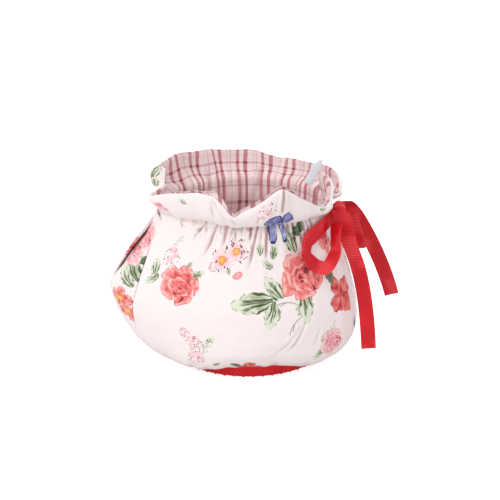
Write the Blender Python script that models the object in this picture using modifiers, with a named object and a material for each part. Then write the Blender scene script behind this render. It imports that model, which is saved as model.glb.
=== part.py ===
# Tea cosy: two padded floral panels gathered on a drawstring, with a plaid lining,
# a ribbed knit base and a red ribbon bow.  The cosy is hollow and stands on its knit base.
#
# Frame: metres in Blender, +Z up, base on z = 0.  -Y is the front, -X the spout side and
# +X the handle side.  Tables are in millimetres and degrees; a bearing is measured
# anticlockwise from +X, so the front is at -90.

import math

import bmesh
import bpy
import numpy as np
from mathutils import Vector

MM = 0.001

# ---------------------------------------------------------------- driving dimensions, mm
AXIS_X = -7.1               # the cosy's axis, so that the box with the ribbon is centred
PANEL_THICKNESS = 2.0       # padded cotton
LINING_THICKNESS = 1.0
PIECE_GAP = 0.5             # between a panel and its lining
LINING_SLACK = 1.1          # the body's lining hangs this much further in
LINING_SLACK_FADES = 0.12   # and closes up over this part of the way below the neck
SEAM_HALF_GAP = 0.3         # each side of a seam between two panels
LINING_SEAM_MARGIN = 0.7    # the lining stops this much short of the seams
STRIP_MARGIN = 0.25         # the strips' seam under the spout slit is a little wider
RIBBON_WIDTH = 12.0
RIBBON_THICKNESS = 1.0
LINING_LIP = 1.6            # the lining stands above the panel at the rim

KNIT_INNER = 62.4
KNIT_OUTER = 65.2
KNIT_HEIGHT = 11.6
KNIT_RIBS = 84
KNIT_RIB_RISE = 0.5

SEAM_BEARING = 153.0        # side strips reach this bearing, front and back
NECK_SEAM_BEARING = 161.5   # and this one just under the drawstring
SEAM_TURNS = (62.0, 114.0)  # between these heights
PINCH_BEARING = 176.0       # the panels meet here at the drawstring, on the spout side

# The body's outer surface, from the knit seam to the drawstring.
# name, height, reach from the axis, extra reach over the spout's root
PROFILE = (
    ("seam", 12.2, 66.6, 0.0),
    ("tuck", 8.4, 74.0, 0.0),
    ("roll", 10.2, 81.0, 2.0),
    ("lower", 16.4, 85.8, 7.0),
    ("swell", 26.0, 88.2, 12.5),
    ("belly", 40.0, 87.0, 21.0),
    ("root", 55.0, 84.4, 27.0),
    ("upper", 70.0, 79.8, 24.5),
    ("slope", 85.0, 74.0, 19.5),
    ("throat", 100.0, 68.0, 13.5),
    ("gather", 111.0, 64.6, 9.5),
    ("neck", 121.0, 64.0, 6.0),
)
SPOUT_POWER = 5             # how narrow the bulge over the spout's root is

# The hem is lifted at the front, where the knit base shows.
HEM_LIFT = 6.6
HEM_LIFT_BEARING = -85.0
HEM_LIFT_WIDTH = 24.0
HEM_LIFT_FADES = (8.4, 42.0)

# Side slits: lowest height, highest height, half width
SPOUT_SLIT = (56.0, 112.0, 15.0)
HANDLE_SLIT = (28.0, 117.0, 10.0)
SLIT_SKEW = 0.85            # below 1, a slit is widest a little under its middle

# Rim of the ruffle, from the spout side to the handle side.
# bearing, reach, height, bulge under the rim; both ends are pinched in where the panels meet
FRONT_RIM = (
    (-184.8, 66.0, 134.0, 1.0),
    (-179.4, 70.6, 132.6, 5.0),
    (-173.2, 76.4, 129.8, 9.0),
    (-164.4, 75.4, 132.6, 9.0),
    (-154.8, 74.0, 136.6, 8.0),
    (-140.8, 73.6, 142.0, 6.0),
    (-128.5, 74.6, 145.4, 5.0),
    (-117.7, 75.6, 147.8, 5.0),
    (-110.2, 76.2, 147.0, 5.0),
    (-104.5, 76.4, 141.6, 5.5),
    (-97.6, 76.0, 131.6, 6.0),
    (-93.4, 75.6, 136.0, 6.0),
    (-86.0, 76.0, 141.2, 5.5),
    (-81.2, 76.6, 145.4, 5.0),
    (-71.3, 76.6, 152.8, 4.0),
    (-65.7, 75.7, 149.0, 5.0),
    (-60.1, 74.8, 144.4, 7.0),
    (-51.8, 73.2, 138.8, 9.0),
    (-43.7, 72.0, 133.8, 10.0),
    (-35.0, 71.0, 131.0, 9.0),
    (-25.7, 70.4, 133.2, 6.0),
    (-18.1, 68.2, 138.2, 4.0),
    (-11.8, 64.2, 143.2, 3.0),
    (-4.0, 57.0, 146.5, 1.0),
)
BACK_RIM = (
    (-1.2, 67.4, 126.4, 2.0),
    (3.9, 73.2, 127.8, 4.0),
    (10.1, 74.2, 134.0, 6.0),
    (15.9, 73.2, 139.4, 7.0),
    (22.5, 72.4, 141.0, 7.0),
    (31.0, 73.4, 140.0, 8.0),
    (43.4, 73.2, 138.2, 6.0),
    (53.7, 71.6, 138.6, 4.0),
    (65.8, 73.2, 137.6, 4.0),
    (75.6, 71.8, 139.8, 4.0),
    (85.7, 73.4, 142.4, 4.0),
    (98.9, 72.0, 143.4, 4.0),
    (114.7, 73.6, 144.4, 4.0),
    (127.7, 71.6, 145.6, 4.0),
    (141.3, 74.2, 146.8, 4.0),
    (154.2, 76.0, 144.6, 6.0),
    (162.0, 79.6, 142.0, 8.0),
    (167.4, 80.0, 141.2, 8.0),
    (170.6, 74.6, 144.2, 6.0),
    (172.6, 69.4, 146.6, 3.0),
    (173.8, 65.6, 145.0, 1.0),
)
RUFFLE_PUFF = 0.72          # how soon the ruffle swells outwards above the drawstring
RUFFLE_RISE = 0.30
RUFFLE_FOLD_AT_RIM = 0.3    # what is left of a ruffle's fold at its rim

# Soft folds in the body. bearing, width, depth, height of the deepest point, half length
FOLDS = (
    (-168.0, 5.0, 1.2, 96.0, 40.0),
    (-146.0, 6.0, 1.6, 104.0, 34.0),
    (-131.0, 5.0, 1.4, 106.0, 30.0),
    (-117.0, 5.5, 1.8, 108.0, 36.0),
    (-103.0, 5.0, 1.5, 108.0, 28.0),
    (-88.0, 6.0, 1.7, 106.0, 34.0),
    (-74.0, 5.0, 1.5, 108.0, 26.0),
    (-60.0, 6.0, 1.8, 106.0, 36.0),
    (-44.0, 5.5, 1.4, 104.0, 30.0),
    (-28.0, 5.5, 1.5, 104.0, 36.0),
    (-76.0, 9.0, 1.4, 20.0, 16.0),
    (-112.0, 10.0, 1.3, 20.0, 18.0),
    (24.0, 6.0, 1.6, 104.0, 34.0),
    (42.0, 6.0, 1.5, 106.0, 30.0),
    (60.0, 6.5, 1.8, 104.0, 38.0),
    (80.0, 6.0, 1.5, 106.0, 30.0),
    (99.0, 6.5, 1.7, 104.0, 36.0),
    (118.0, 6.0, 1.5, 106.0, 32.0),
    (138.0, 6.5, 1.6, 104.0, 34.0),
)

# Folds in the ruffle. bearing, width, depth
RUFFLE_FOLDS = (
    (-150.0, 4.5, 1.8),
    (-122.0, 4.0, 1.6),
    (-97.5, 4.5, 2.6),
    (-66.0, 4.0, 2.6),
    (-47.0, 4.0, 1.6),
    (-22.0, 5.0, 1.8),
    (36.0, 6.0, 2.2),
    (62.0, 6.0, 2.2),
    (90.0, 6.0, 1.8),
    (121.0, 6.5, 2.4),
    (150.0, 6.0, 2.0),
)

# Rows of the cloth grids, as parts of the way from seam to neck (0 to 1) and neck to rim (1 to 2).
BODY_ROWS = (0.0, 0.05, 0.10, 0.155, 0.22, 0.30, 0.40, 0.50, 0.60, 0.70, 0.80, 0.88, 0.95, 1.0)
RUFFLE_ROWS = (1.16, 1.36, 1.62, 2.0)
STRIP_TOP_ROW = 0.94        # the side strips end at this row on their outer seam
PANEL_TURNS_AT = 0.95       # above this row the panels reach round to the spout side
STRIP_TOP_RISE = 0.012      # and this much higher at the slit
LINING_MEETS_PANEL = (0.80, 0.94)   # above these rows the lining ends where the panel ends

FRONT_COLUMNS = 42
BACK_COLUMNS = 32
END_CROWDING = 0.35         # columns stand closer together near a panel's side edges
STRIP_COLUMNS = 4

# Ribbon routes: x, y, z of the middle line from the cosy's axis, then the bearing and
# the slope of the direction across the ribbon.
NECK_END = (
    (57.0, 0.0, 107.0, 90.0, 86.0),
    (63.0, -0.2, 108.0, 90.0, 84.0),
    (68.0, -1.2, 110.5, 90.0, 78.0),
    (71.5, -3.4, 113.5, 90.0, 70.0),
)
FRONT_LOOP = (
    (65.0, -19.8, 115.0, -125.0, 64.0),
    (59.4, -30.2, 113.2, -132.0, 60.0),
    (53.2, -42.2, 111.6, -158.0, 53.0),
    (47.4, -49.3, 108.9, -166.0, 42.0),
    (43.9, -54.4, 104.3, -134.7, 26.9),
    (43.1, -59.3, 99.7, -127.3, 7.3),
    (46.9, -58.2, 93.2, -123.0, -16.0),
    (52.0, -56.2, 88.0, -112.0, -34.0),
    (57.1, -56.0, 86.6, -80.0, -38.0),
    (62.4, -51.6, 90.9, -56.0, -20.0),
    (66.0, -41.2, 96.4, -51.5, -4.0),
    (66.0, -36.0, 103.6, -55.2, 6.0),
    (66.2, -33.4, 109.0, -52.0, 8.0),
    (67.4, -32.6, 113.6, -46.0, 8.0),
)
BACK_LOOP = (
    (77.0, -6.5, 116.0, -4.0, 6.0),
    (80.5, -6.5, 107.0, -6.0, 8.0),
    (84.5, -6.0, 95.0, -8.0, 10.0),
    (87.5, -3.5, 85.0, -10.0, 12.0),
    (87.0, 1.5, 81.5, -10.0, 12.0),
    (83.5, 5.5, 87.0, -8.0, 10.0),
    (79.5, 6.0, 98.0, -4.0, 6.0),
    (76.5, 3.5, 108.0, -2.0, 2.0),
)
FRONT_TAIL = (
    (69.8, -24.0, 121.0, -12.0, -6.0),
    (72.4, -29.0, 112.0, -14.0, 2.0),
    (77.0, -31.0, 98.0, -14.0, 8.0),
    (83.2, -32.5, 82.0, -14.0, 8.0),
    (88.0, -35.0, 64.0, -16.0, 4.0),
    (91.0, -38.5, 46.0, -18.0, 2.0),
    (92.8, -42.0, 29.0, -18.0, 6.0),
    (93.8, -44.5, 14.8, -18.0, 12.0),
)
BACK_TAIL = (
    (70.5, -3.0, 121.0, -24.0, 20.0),
    (76.5, 3.5, 118.0, -14.0, 26.0),
    (83.5, 9.0, 110.0, -4.0, 28.0),
    (92.0, 13.0, 96.0, 4.0, 26.0),
    (101.0, 15.0, 79.0, 8.0, 22.0),
    (109.5, 17.5, 60.0, 8.0, 18.0),
    (115.5, 19.0, 44.0, 8.0, 14.0),
    (118.6, 20.0, 33.8, 8.0, 10.0),
)
RIBBONS = (
    ("ribbon_neck_end", NECK_END, 6),
    ("ribbon_front_loop", FRONT_LOOP, 30),
    ("ribbon_back_loop", BACK_LOOP, 20),
    ("ribbon_front_tail", FRONT_TAIL, 16),
    ("ribbon_back_tail", BACK_TAIL, 14),
)
KNOT_CENTRE = (70.2, -13.0, 118.5)
KNOT_SIZE = (10.0, 15.0, 12.0)

LABEL_ROUTE = (
    (45.6, 9.0, 133.0, -20.0, -26.0),
    (49.5, 10.0, 138.0, -20.0, -26.0),
    (53.0, 11.0, 145.0, -20.0, -28.0),
    (57.5, 12.0, 151.5, -20.0, -30.0),
)
LABEL_WIDTH = 7.0
LABEL_THICKNESS = 1.0


# ---------------------------------------------------------------- small tools
def smooth_columns(xs, rows, at):
    """Read every column of rows at the places at, along a smooth curve without overshoot."""
    xs = np.asarray(xs, float)
    rows = np.asarray(rows, float)
    at = np.clip(np.asarray(at, float), xs[0], xs[-1])
    steps = np.diff(xs)
    slopes = np.diff(rows, axis=0) / steps[:, None]
    tangents = np.zeros_like(rows)
    tangents[0] = slopes[0]
    tangents[-1] = slopes[-1]
    same_sign = slopes[:-1] * slopes[1:] > 0.0
    mean = 2.0 * slopes[:-1] * slopes[1:] / np.where(same_sign, slopes[:-1] + slopes[1:], 1.0)
    tangents[1:-1] = np.where(same_sign, mean, 0.0)
    index = np.clip(np.searchsorted(xs, at, side="right") - 1, 0, len(xs) - 2)
    step = steps[index][:, None]
    t = (at - xs[index])[:, None] / step
    start, end = rows[index], rows[index + 1]
    return (
        (1 + 2 * t) * (1 - t) ** 2 * start
        + t * (1 - t) ** 2 * step * tangents[index]
        + t * t * (3 - 2 * t) * end
        + t * t * (t - 1) * step * tangents[index + 1]
    )


def path_fractions(points):
    """How far along its own length each point of a path lies, from 0 to 1."""
    lengths = np.linalg.norm(np.diff(points, axis=0), axis=1)
    run = np.concatenate([[0.0], np.cumsum(lengths)])
    return run / run[-1]


def smooth_step(value):
    value = np.clip(value, 0.0, 1.0)
    return value * value * (3.0 - 2.0 * value)


def turned(bearing, reach, height):
    """Points of the cosy, in mm, from bearings, reaches and heights."""
    angle = np.radians(bearing)
    return np.stack([AXIS_X + reach * np.cos(angle), reach * np.sin(angle), height], axis=-1)


PROFILE_PLACES = path_fractions(np.array([row[1:3] for row in PROFILE]))
PROFILE_VALUES = np.array([row[1:] for row in PROFILE])


# ---------------------------------------------------------------- the cloth's form
def profile_at(part_up):
    """Height, reach and spout bulge at places from the seam (0) to the neck (1)."""
    values = smooth_columns(PROFILE_PLACES, PROFILE_VALUES, part_up)
    return values[:, 0], values[:, 1], values[:, 2]


def body_surface(bearing, part_up):
    """Outer surface of the body, in mm, below the drawstring."""
    height, reach, bulge = profile_at(part_up)
    angle = np.radians(bearing)
    reach = reach + bulge * np.maximum(0.0, -np.cos(angle)) ** SPOUT_POWER
    low, high = HEM_LIFT_FADES
    off = (bearing - HEM_LIFT_BEARING) / HEM_LIFT_WIDTH
    fade = 1.0 - smooth_step((height - low) / (high - low))
    leaves_seam = smooth_step(part_up / PROFILE_PLACES[1])
    for fold_bearing, width, depth, deepest, half_length in FOLDS:
        across = (bearing - fold_bearing + 180.0) % 360.0 - 180.0
        along = np.maximum(0.0, 1.0 - ((height - deepest) / half_length) ** 2)
        reach = reach - depth * np.exp(-((across / width) ** 2)) * along
    height = height + HEM_LIFT * np.exp(-(off**4)) * fade * leaves_seam
    return turned(bearing, reach, height)


def slit_half_angle(slit, part_up, margin=0.0):
    """Half the slit's opening, in degrees, at places up the body, with the seam gap."""
    low, high, half_width = slit
    height, reach, bulge = profile_at(part_up)
    if slit is SPOUT_SLIT:
        reach = reach + bulge
    up = np.clip((height - low) / (high - low), 0.0, 1.0)
    opening = half_width * np.sqrt(np.sin(np.pi * up**SLIT_SKEW))
    opening[up <= 0.0] = 0.0
    opening[up >= 1.0] = 0.0
    return np.degrees((opening + SEAM_HALF_GAP + margin) / reach)


def seam_bearing(part_up, neck_bearing):
    """Bearing of a panel's edge on the spout side, which runs to neck_bearing at the neck."""
    height, _, _ = profile_at(part_up)
    low, high = SEAM_TURNS
    to_neck = smooth_step((height - low) / (high - low))
    below = SEAM_BEARING + (NECK_SEAM_BEARING - SEAM_BEARING) * to_neck
    last = np.clip((part_up - PANEL_TURNS_AT) / (1.0 - PANEL_TURNS_AT), 0.0, 1.0)
    return below + (neck_bearing - below) * last


def crowd_ends(across):
    return across - END_CROWDING * np.sin(2.0 * np.pi * across) / (2.0 * np.pi)


def ruffle_surface(across, part_up, rim, neck_bearing):
    """Outer surface of the ruffle, in mm, from the drawstring (1) to the rim (2)."""
    rim = np.array(rim)
    rim_points = turned(rim[:, 0], rim[:, 1], rim[:, 2])
    edge_values = np.column_stack([rim_points, rim[:, 3]])
    edge_values = smooth_columns(path_fractions(rim_points), edge_values, across)
    edge, bulge = edge_values[:, :3], edge_values[:, 3:]
    neck = body_surface(neck_bearing, np.ones_like(neck_bearing))
    t = (part_up - 1.0)[:, None]
    middle = neck + (edge - neck) * np.array([RUFFLE_PUFF, RUFFLE_PUFF, RUFFLE_RISE])
    outward = (edge - np.array([AXIS_X, 0.0, 0.0])) * np.array([1.0, 1.0, 0.0])
    outward /= np.linalg.norm(outward, axis=1)[:, None]
    middle = middle + outward * bulge
    points = (1 - t) ** 2 * neck + 2 * t * (1 - t) * middle + t * t * edge
    bearing = np.degrees(np.arctan2(edge[:, 1], edge[:, 0] - AXIS_X))
    depth = np.zeros(len(bearing))
    for fold_bearing, width, fold_depth in RUFFLE_FOLDS:
        apart = (bearing - fold_bearing + 180.0) % 360.0 - 180.0
        depth += fold_depth * np.exp(-((apart / width) ** 2))
    mid_height = 4.0 * t[:, 0] * (1.0 - t[:, 0])
    inward = depth * (mid_height + RUFFLE_FOLD_AT_RIM * t[:, 0])
    return points - outward * inward[:, None]


def lining_follows_panel(part_up):
    """0 where the lining reaches to the spout slit, 1 where it ends with its panel."""
    low, high = LINING_MEETS_PANEL
    return smooth_step((part_up - low) / (high - low))


def front_surface(across, part_up, is_lining=False):
    """A point of the front panel, or of its lining, which reaches to the spout slit."""
    across = crowd_ends(across)
    body_up = np.minimum(part_up, 1.0)
    margin = LINING_SEAM_MARGIN if is_lining else 0.0
    slit_edge = -180.0 + slit_half_angle(SPOUT_SLIT, body_up, margin)
    half_gap = np.degrees(SEAM_HALF_GAP / profile_at(body_up)[1])
    seam = half_gap - seam_bearing(body_up, 360.0 - PINCH_BEARING)
    start = seam
    if is_lining:
        start = slit_edge + (seam - slit_edge) * lining_follows_panel(body_up)
    end = -slit_half_angle(HANDLE_SLIT, body_up, margin)
    bearing = start + (end - start) * across
    body = body_surface(bearing, body_up)
    return np.where(part_up[:, None] > 1.0, ruffle_surface(across, part_up, FRONT_RIM, bearing), body)


def back_surface(across, part_up, is_lining=False):
    """A point of the back panel or its lining, from the handle side round to the spout side."""
    across = crowd_ends(across)
    body_up = np.minimum(part_up, 1.0)
    margin = LINING_SEAM_MARGIN if is_lining else 0.0
    slit_edge = 180.0 - slit_half_angle(SPOUT_SLIT, body_up, margin)
    half_gap = np.degrees(SEAM_HALF_GAP / profile_at(body_up)[1])
    seam = seam_bearing(body_up, PINCH_BEARING) - half_gap
    end = seam
    if is_lining:
        end = slit_edge + (seam - slit_edge) * lining_follows_panel(body_up)
    start = slit_half_angle(HANDLE_SLIT, body_up, margin)
    bearing = start + (end - start) * across
    body = body_surface(bearing, body_up)
    return np.where(part_up[:, None] > 1.0, ruffle_surface(across, part_up, BACK_RIM, bearing), body)


def strip_up(across, part_up):
    """Side strips end just under the drawstring, higher at the slit than at the seam."""
    top = STRIP_TOP_ROW + STRIP_TOP_RISE * across
    return part_up * top


def front_strip_surface(across, part_up):
    """Across runs from the slit (0) to the seam with the front panel (1)."""
    body_up = strip_up(1.0 - across, part_up)
    slit_edge = -180.0 + slit_half_angle(SPOUT_SLIT, body_up, STRIP_MARGIN)
    seam = -seam_bearing(body_up, NECK_SEAM_BEARING)
    end = seam - np.degrees(SEAM_HALF_GAP / profile_at(body_up)[1])
    return body_surface(slit_edge + (end - slit_edge) * across, body_up)


def back_strip_surface(across, part_up):
    """Across runs from the seam with the back panel (0) to the slit (1)."""
    body_up = strip_up(across, part_up)
    slit_edge = 180.0 - slit_half_angle(SPOUT_SLIT, body_up, STRIP_MARGIN)
    seam = seam_bearing(body_up, NECK_SEAM_BEARING)
    start = seam + np.degrees(SEAM_HALF_GAP / profile_at(body_up)[1])
    return body_surface(start + (slit_edge - start) * across, body_up)


# ---------------------------------------------------------------- Blender pieces
def make_material(name, colour, roughness):
    material = bpy.data.materials.new(name)
    material.use_nodes = True
    shader = material.node_tree.nodes["Principled BSDF"]
    shader.inputs["Base Color"].default_value = (*colour, 1.0)
    shader.inputs["Roughness"].default_value = roughness
    return material


def link_mesh(bm, name, collection, material):
    mesh = bpy.data.meshes.new(name)
    bm.to_mesh(mesh)
    bm.free()
    mesh.materials.append(material)
    mesh.shade_smooth()
    obj = bpy.data.objects.new(name, mesh)
    collection.objects.link(obj)
    return obj


def grid_bmesh(columns, rows, place):
    """A grid whose points are put where place(across, row number) says, in mm."""
    bm = bmesh.new()
    bmesh.ops.create_grid(bm, x_segments=columns, y_segments=rows, size=1.0)
    corners = np.array([vert.co for vert in bm.verts])
    across = (corners[:, 0] + 1.0) / 2.0
    row = (corners[:, 1] + 1.0) / 2.0 * rows
    for vert, point in zip(bm.verts, place(across, row)):
        vert.co = Vector(point * MM)
    bmesh.ops.triangulate(bm, faces=bm.faces[:], quad_method="ALTERNATE")
    return bm


def add_thickness(obj, thickness, offset):
    solid = obj.modifiers.new("Thickness", "SOLIDIFY")
    solid.thickness = thickness * MM
    solid.offset = offset
    return solid


def cloth_piece(name, surface, columns, rows, thickness, collection, material, inset=0.0, lip=0.0):
    """One piece of cloth: its outer face follows surface, moved inwards by inset."""
    levels = np.array(rows)

    def place(across, row):
        part_up = np.interp(row, np.arange(len(levels)), levels)
        return surface(across, part_up)

    bm = grid_bmesh(columns, len(levels) - 1, place)
    bmesh.ops.recalc_face_normals(bm, faces=bm.faces[:])
    bm.normal_update()
    middle = sum((face.calc_center_median() for face in bm.faces), Vector()) / len(bm.faces)
    sample = min(bm.faces, key=lambda face: abs(face.calc_center_median().z - middle.z))
    away = sample.calc_center_median() - Vector((AXIS_X * MM, 0.0, middle.z))
    if sample.normal.dot(away) < 0.0:
        bmesh.ops.reverse_faces(bm, faces=bm.faces[:])
        bm.normal_update()
    if inset:
        bm.verts.ensure_lookup_table()
        for index, vert in enumerate(bm.verts):
            part_up = levels[index // (columns + 1)]
            slack = LINING_SLACK * float(smooth_step((1.0 - part_up) / LINING_SLACK_FADES))
            vert.co -= vert.normal * (inset + slack) * MM
            if part_up == levels[-1]:
                below = bm.verts[index - columns - 1].co
                vert.co += (vert.co - below).normalized() * lip * MM
    obj = link_mesh(bm, name, collection, material)
    add_thickness(obj, thickness, -1.0)
    return obj


def strip_piece(name, route, steps, width, thickness, collection, material):
    """A flat strip along a route, turned by the direction across it."""
    rows = np.array(route, float)
    tilt = np.radians(rows[:, 3:5])
    across_way = np.stack(
        [
            np.cos(tilt[:, 0]) * np.cos(tilt[:, 1]),
            np.sin(tilt[:, 0]) * np.cos(tilt[:, 1]),
            np.sin(tilt[:, 1]),
        ],
        axis=-1,
    )
    for index in range(1, len(across_way)):
        if across_way[index] @ across_way[index - 1] < 0.0:
            across_way[index] *= -1.0
    values = np.hstack([rows[:, :3] + np.array([AXIS_X, 0.0, 0.0]), across_way])
    places = path_fractions(rows[:, :3])

    def place(across, row):
        read = smooth_columns(places, values, row / steps)
        side = read[:, 3:] / np.linalg.norm(read[:, 3:], axis=1)[:, None]
        return read[:, :3] + side * ((across - 0.5) * width)[:, None]

    obj = link_mesh(grid_bmesh(2, steps, place), name, collection, material)
    add_thickness(obj, thickness, 0.0)
    return obj


def knit_base(collection, material):
    """A ring of ribbed knit that stands on the table."""
    bm = bmesh.new()
    segments = KNIT_RIBS * 2
    bmesh.ops.create_cone(
        bm,
        cap_ends=False,
        segments=segments,
        radius1=KNIT_OUTER * MM,
        radius2=KNIT_OUTER * MM,
        depth=KNIT_HEIGHT * MM,
    )
    for vert in bm.verts:
        bearing = math.atan2(vert.co.y, vert.co.x)
        rib = round(bearing / (2.0 * math.pi) * segments) % 2
        reach = (KNIT_OUTER - KNIT_RIB_RISE * rib) * MM
        vert.co.x = math.cos(bearing) * reach + AXIS_X * MM
        vert.co.y = math.sin(bearing) * reach
        vert.co.z += KNIT_HEIGHT / 2.0 * MM
    bmesh.ops.recalc_face_normals(bm, faces=bm.faces[:])
    bm.normal_update()
    sample = bm.faces[:][0]
    if sample.normal.dot(sample.calc_center_median() - Vector((AXIS_X * MM, 0.0, 0.0))) < 0.0:
        bmesh.ops.reverse_faces(bm, faces=bm.faces[:])
    obj = link_mesh(bm, "knit_base", collection, material)
    add_thickness(obj, KNIT_OUTER - KNIT_INNER, -1.0)
    return obj


def ribbon_knot(collection, material):
    """The bow's knot: a rounded lump, waisted where the ribbon wraps it."""
    bm = bmesh.new()
    bmesh.ops.create_uvsphere(bm, u_segments=14, v_segments=9, radius=0.5)
    for vert in bm.verts:
        waist = 1.0 - 0.10 * math.cos(vert.co.y * 2.0 * math.pi)
        vert.co.x = vert.co.x * KNOT_SIZE[0] * MM * waist + (KNOT_CENTRE[0] + AXIS_X) * MM
        vert.co.z = vert.co.z * KNOT_SIZE[2] * MM * waist + KNOT_CENTRE[2] * MM
        vert.co.y = vert.co.y * KNOT_SIZE[1] * MM + KNOT_CENTRE[1] * MM
    return link_mesh(bm, "ribbon_knot", collection, material)


# ---------------------------------------------------------------- assembly
def build_cloth(collection, cotton, plaid):
    rows = BODY_ROWS + RUFFLE_ROWS
    strip_rows = tuple(row / STRIP_TOP_ROW for row in BODY_ROWS if row < STRIP_TOP_ROW) + (1.0,)
    cloth_piece("front_panel", front_surface, FRONT_COLUMNS, rows, PANEL_THICKNESS, collection, cotton)
    cloth_piece("back_panel", back_surface, BACK_COLUMNS, rows, PANEL_THICKNESS, collection, cotton)
    for name, surface in (
        ("side_strip_front", front_strip_surface),
        ("side_strip_back", back_strip_surface),
    ):
        cloth_piece(name, surface, STRIP_COLUMNS, strip_rows, PANEL_THICKNESS, collection, cotton)
    inset = PANEL_THICKNESS + PIECE_GAP
    cloth_piece(
        "front_lining",
        lambda across, part_up: front_surface(across, part_up, is_lining=True),
        FRONT_COLUMNS, rows, LINING_THICKNESS, collection, plaid, inset, LINING_LIP,
    )
    cloth_piece(
        "back_lining",
        lambda across, part_up: back_surface(across, part_up, is_lining=True),
        BACK_COLUMNS, rows, LINING_THICKNESS, collection, plaid, inset, LINING_LIP,
    )


def build_ribbon(collection, satin):
    ribbon_knot(collection, satin)
    for name, route, steps in RIBBONS:
        strip_piece(name, route, steps, RIBBON_WIDTH, RIBBON_THICKNESS, collection, satin)


def main():
    for old in list(bpy.data.objects):
        bpy.data.objects.remove(old, do_unlink=True)
    collection = bpy.data.collections.new("Tea cosy")
    bpy.context.scene.collection.children.link(collection)
    cotton = make_material("floral_cotton", (0.92, 0.84, 0.82), 0.85)
    plaid = make_material("plaid_cotton", (0.86, 0.62, 0.62), 0.85)
    knit = make_material("red_knit", (0.75, 0.03, 0.04), 0.9)
    satin = make_material("red_grosgrain", (0.66, 0.01, 0.02), 0.5)
    tag = make_material("label_tape", (0.88, 0.90, 0.92), 0.55)
    build_cloth(collection, cotton, plaid)
    knit_base(collection, knit)
    build_ribbon(collection, satin)
    strip_piece("care_label", LABEL_ROUTE, 6, LABEL_WIDTH, LABEL_THICKNESS, collection, tag)


main()
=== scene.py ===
"""Tea cosy: a padded floral cotton cover that is gathered on a drawstring, with a plaid lining,
a red knit base and a red grosgrain bow.

Metres in the scene; the tables are in millimetres and degrees.  -Y is the front, -X the spout
side, +X the handle side.  A bearing is measured anticlockwise from +X, so the front is at -90.
"""

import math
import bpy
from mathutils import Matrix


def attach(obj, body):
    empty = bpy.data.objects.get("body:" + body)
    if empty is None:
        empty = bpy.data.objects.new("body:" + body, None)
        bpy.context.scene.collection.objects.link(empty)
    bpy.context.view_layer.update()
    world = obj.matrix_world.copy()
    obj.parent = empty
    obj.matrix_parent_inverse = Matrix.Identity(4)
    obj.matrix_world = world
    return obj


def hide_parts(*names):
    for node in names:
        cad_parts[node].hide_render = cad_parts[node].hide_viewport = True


bl_info = {
    "name": "Tea cosy",
    "version": (1, 0, 0),
    "blender": (4, 5, 0),
    "location": "3D View > Sidebar > Tea cosy",
    "description": "Builds the cloth, knit, ribbon and stage of a gathered tea cosy",
    "category": "Object",
}

from types import SimpleNamespace

import bmesh
import bpy
import numpy as np
from mathutils import Matrix, Vector

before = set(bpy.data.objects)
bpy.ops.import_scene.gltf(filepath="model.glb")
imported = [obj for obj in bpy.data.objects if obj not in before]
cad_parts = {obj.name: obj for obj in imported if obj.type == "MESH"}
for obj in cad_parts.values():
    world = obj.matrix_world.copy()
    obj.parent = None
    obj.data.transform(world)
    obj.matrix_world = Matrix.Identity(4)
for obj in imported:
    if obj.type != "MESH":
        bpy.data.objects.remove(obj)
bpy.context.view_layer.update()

MM = 0.001
TAU = 2.0 * math.pi

# ---------------------------------------------------------------- the cosy's form, mm and degrees
AXIS_X = -7.1               # the cosy's axis
PIECE_GAP = 0.5             # between a panel and its lining
LINING_SLACK = 1.1          # the body's lining hangs this much further in
LINING_SLACK_FADES = 0.12   # and closes up over this part of the way below the neck
SEAM_HALF_GAP = 0.3
LINING_SEAM_MARGIN = 0.7
STRIP_MARGIN = 0.25
LINING_LIP = 1.6            # the lining stands above the panel at the rim

SEAM_BEARING = 153.0        # side strips reach this bearing, front and back
NECK_SEAM_BEARING = 161.5   # and this one just under the drawstring
SEAM_TURNS = (62.0, 114.0)  # between these heights
PINCH_BEARING = 176.0       # the panels meet here at the drawstring, on the spout side

# Height, reach from the axis and extra reach over the spout's root, from knit seam to neck
PROFILE = (
    (12.2, 66.6, 0.0),
    (8.4, 74.0, 0.0),
    (10.2, 81.0, 2.0),
    (16.4, 85.8, 7.0),
    (26.0, 88.2, 12.5),
    (40.0, 87.0, 21.0),
    (55.0, 84.4, 27.0),
    (70.0, 79.8, 24.5),
    (85.0, 74.0, 19.5),
    (100.0, 68.0, 13.5),
    (111.0, 64.6, 9.5),
    (121.0, 64.0, 6.0),
)
SPOUT_POWER = 5             # the higher, the closer the bulge keeps to the spout's root

HEM_LIFT = 6.6              # the hem is lifted at the front, where the knit shows
HEM_LIFT_BEARING = -85.0
HEM_LIFT_WIDTH = 24.0
HEM_LIFT_FADES = (8.4, 42.0)

# Side slits: lowest height, highest height, half width
SPOUT_SLIT = (56.0, 112.0, 15.0)
HANDLE_SLIT = (28.0, 117.0, 10.0)
SLIT_SKEW = 0.85            # a slit is widest a little below its middle

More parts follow.
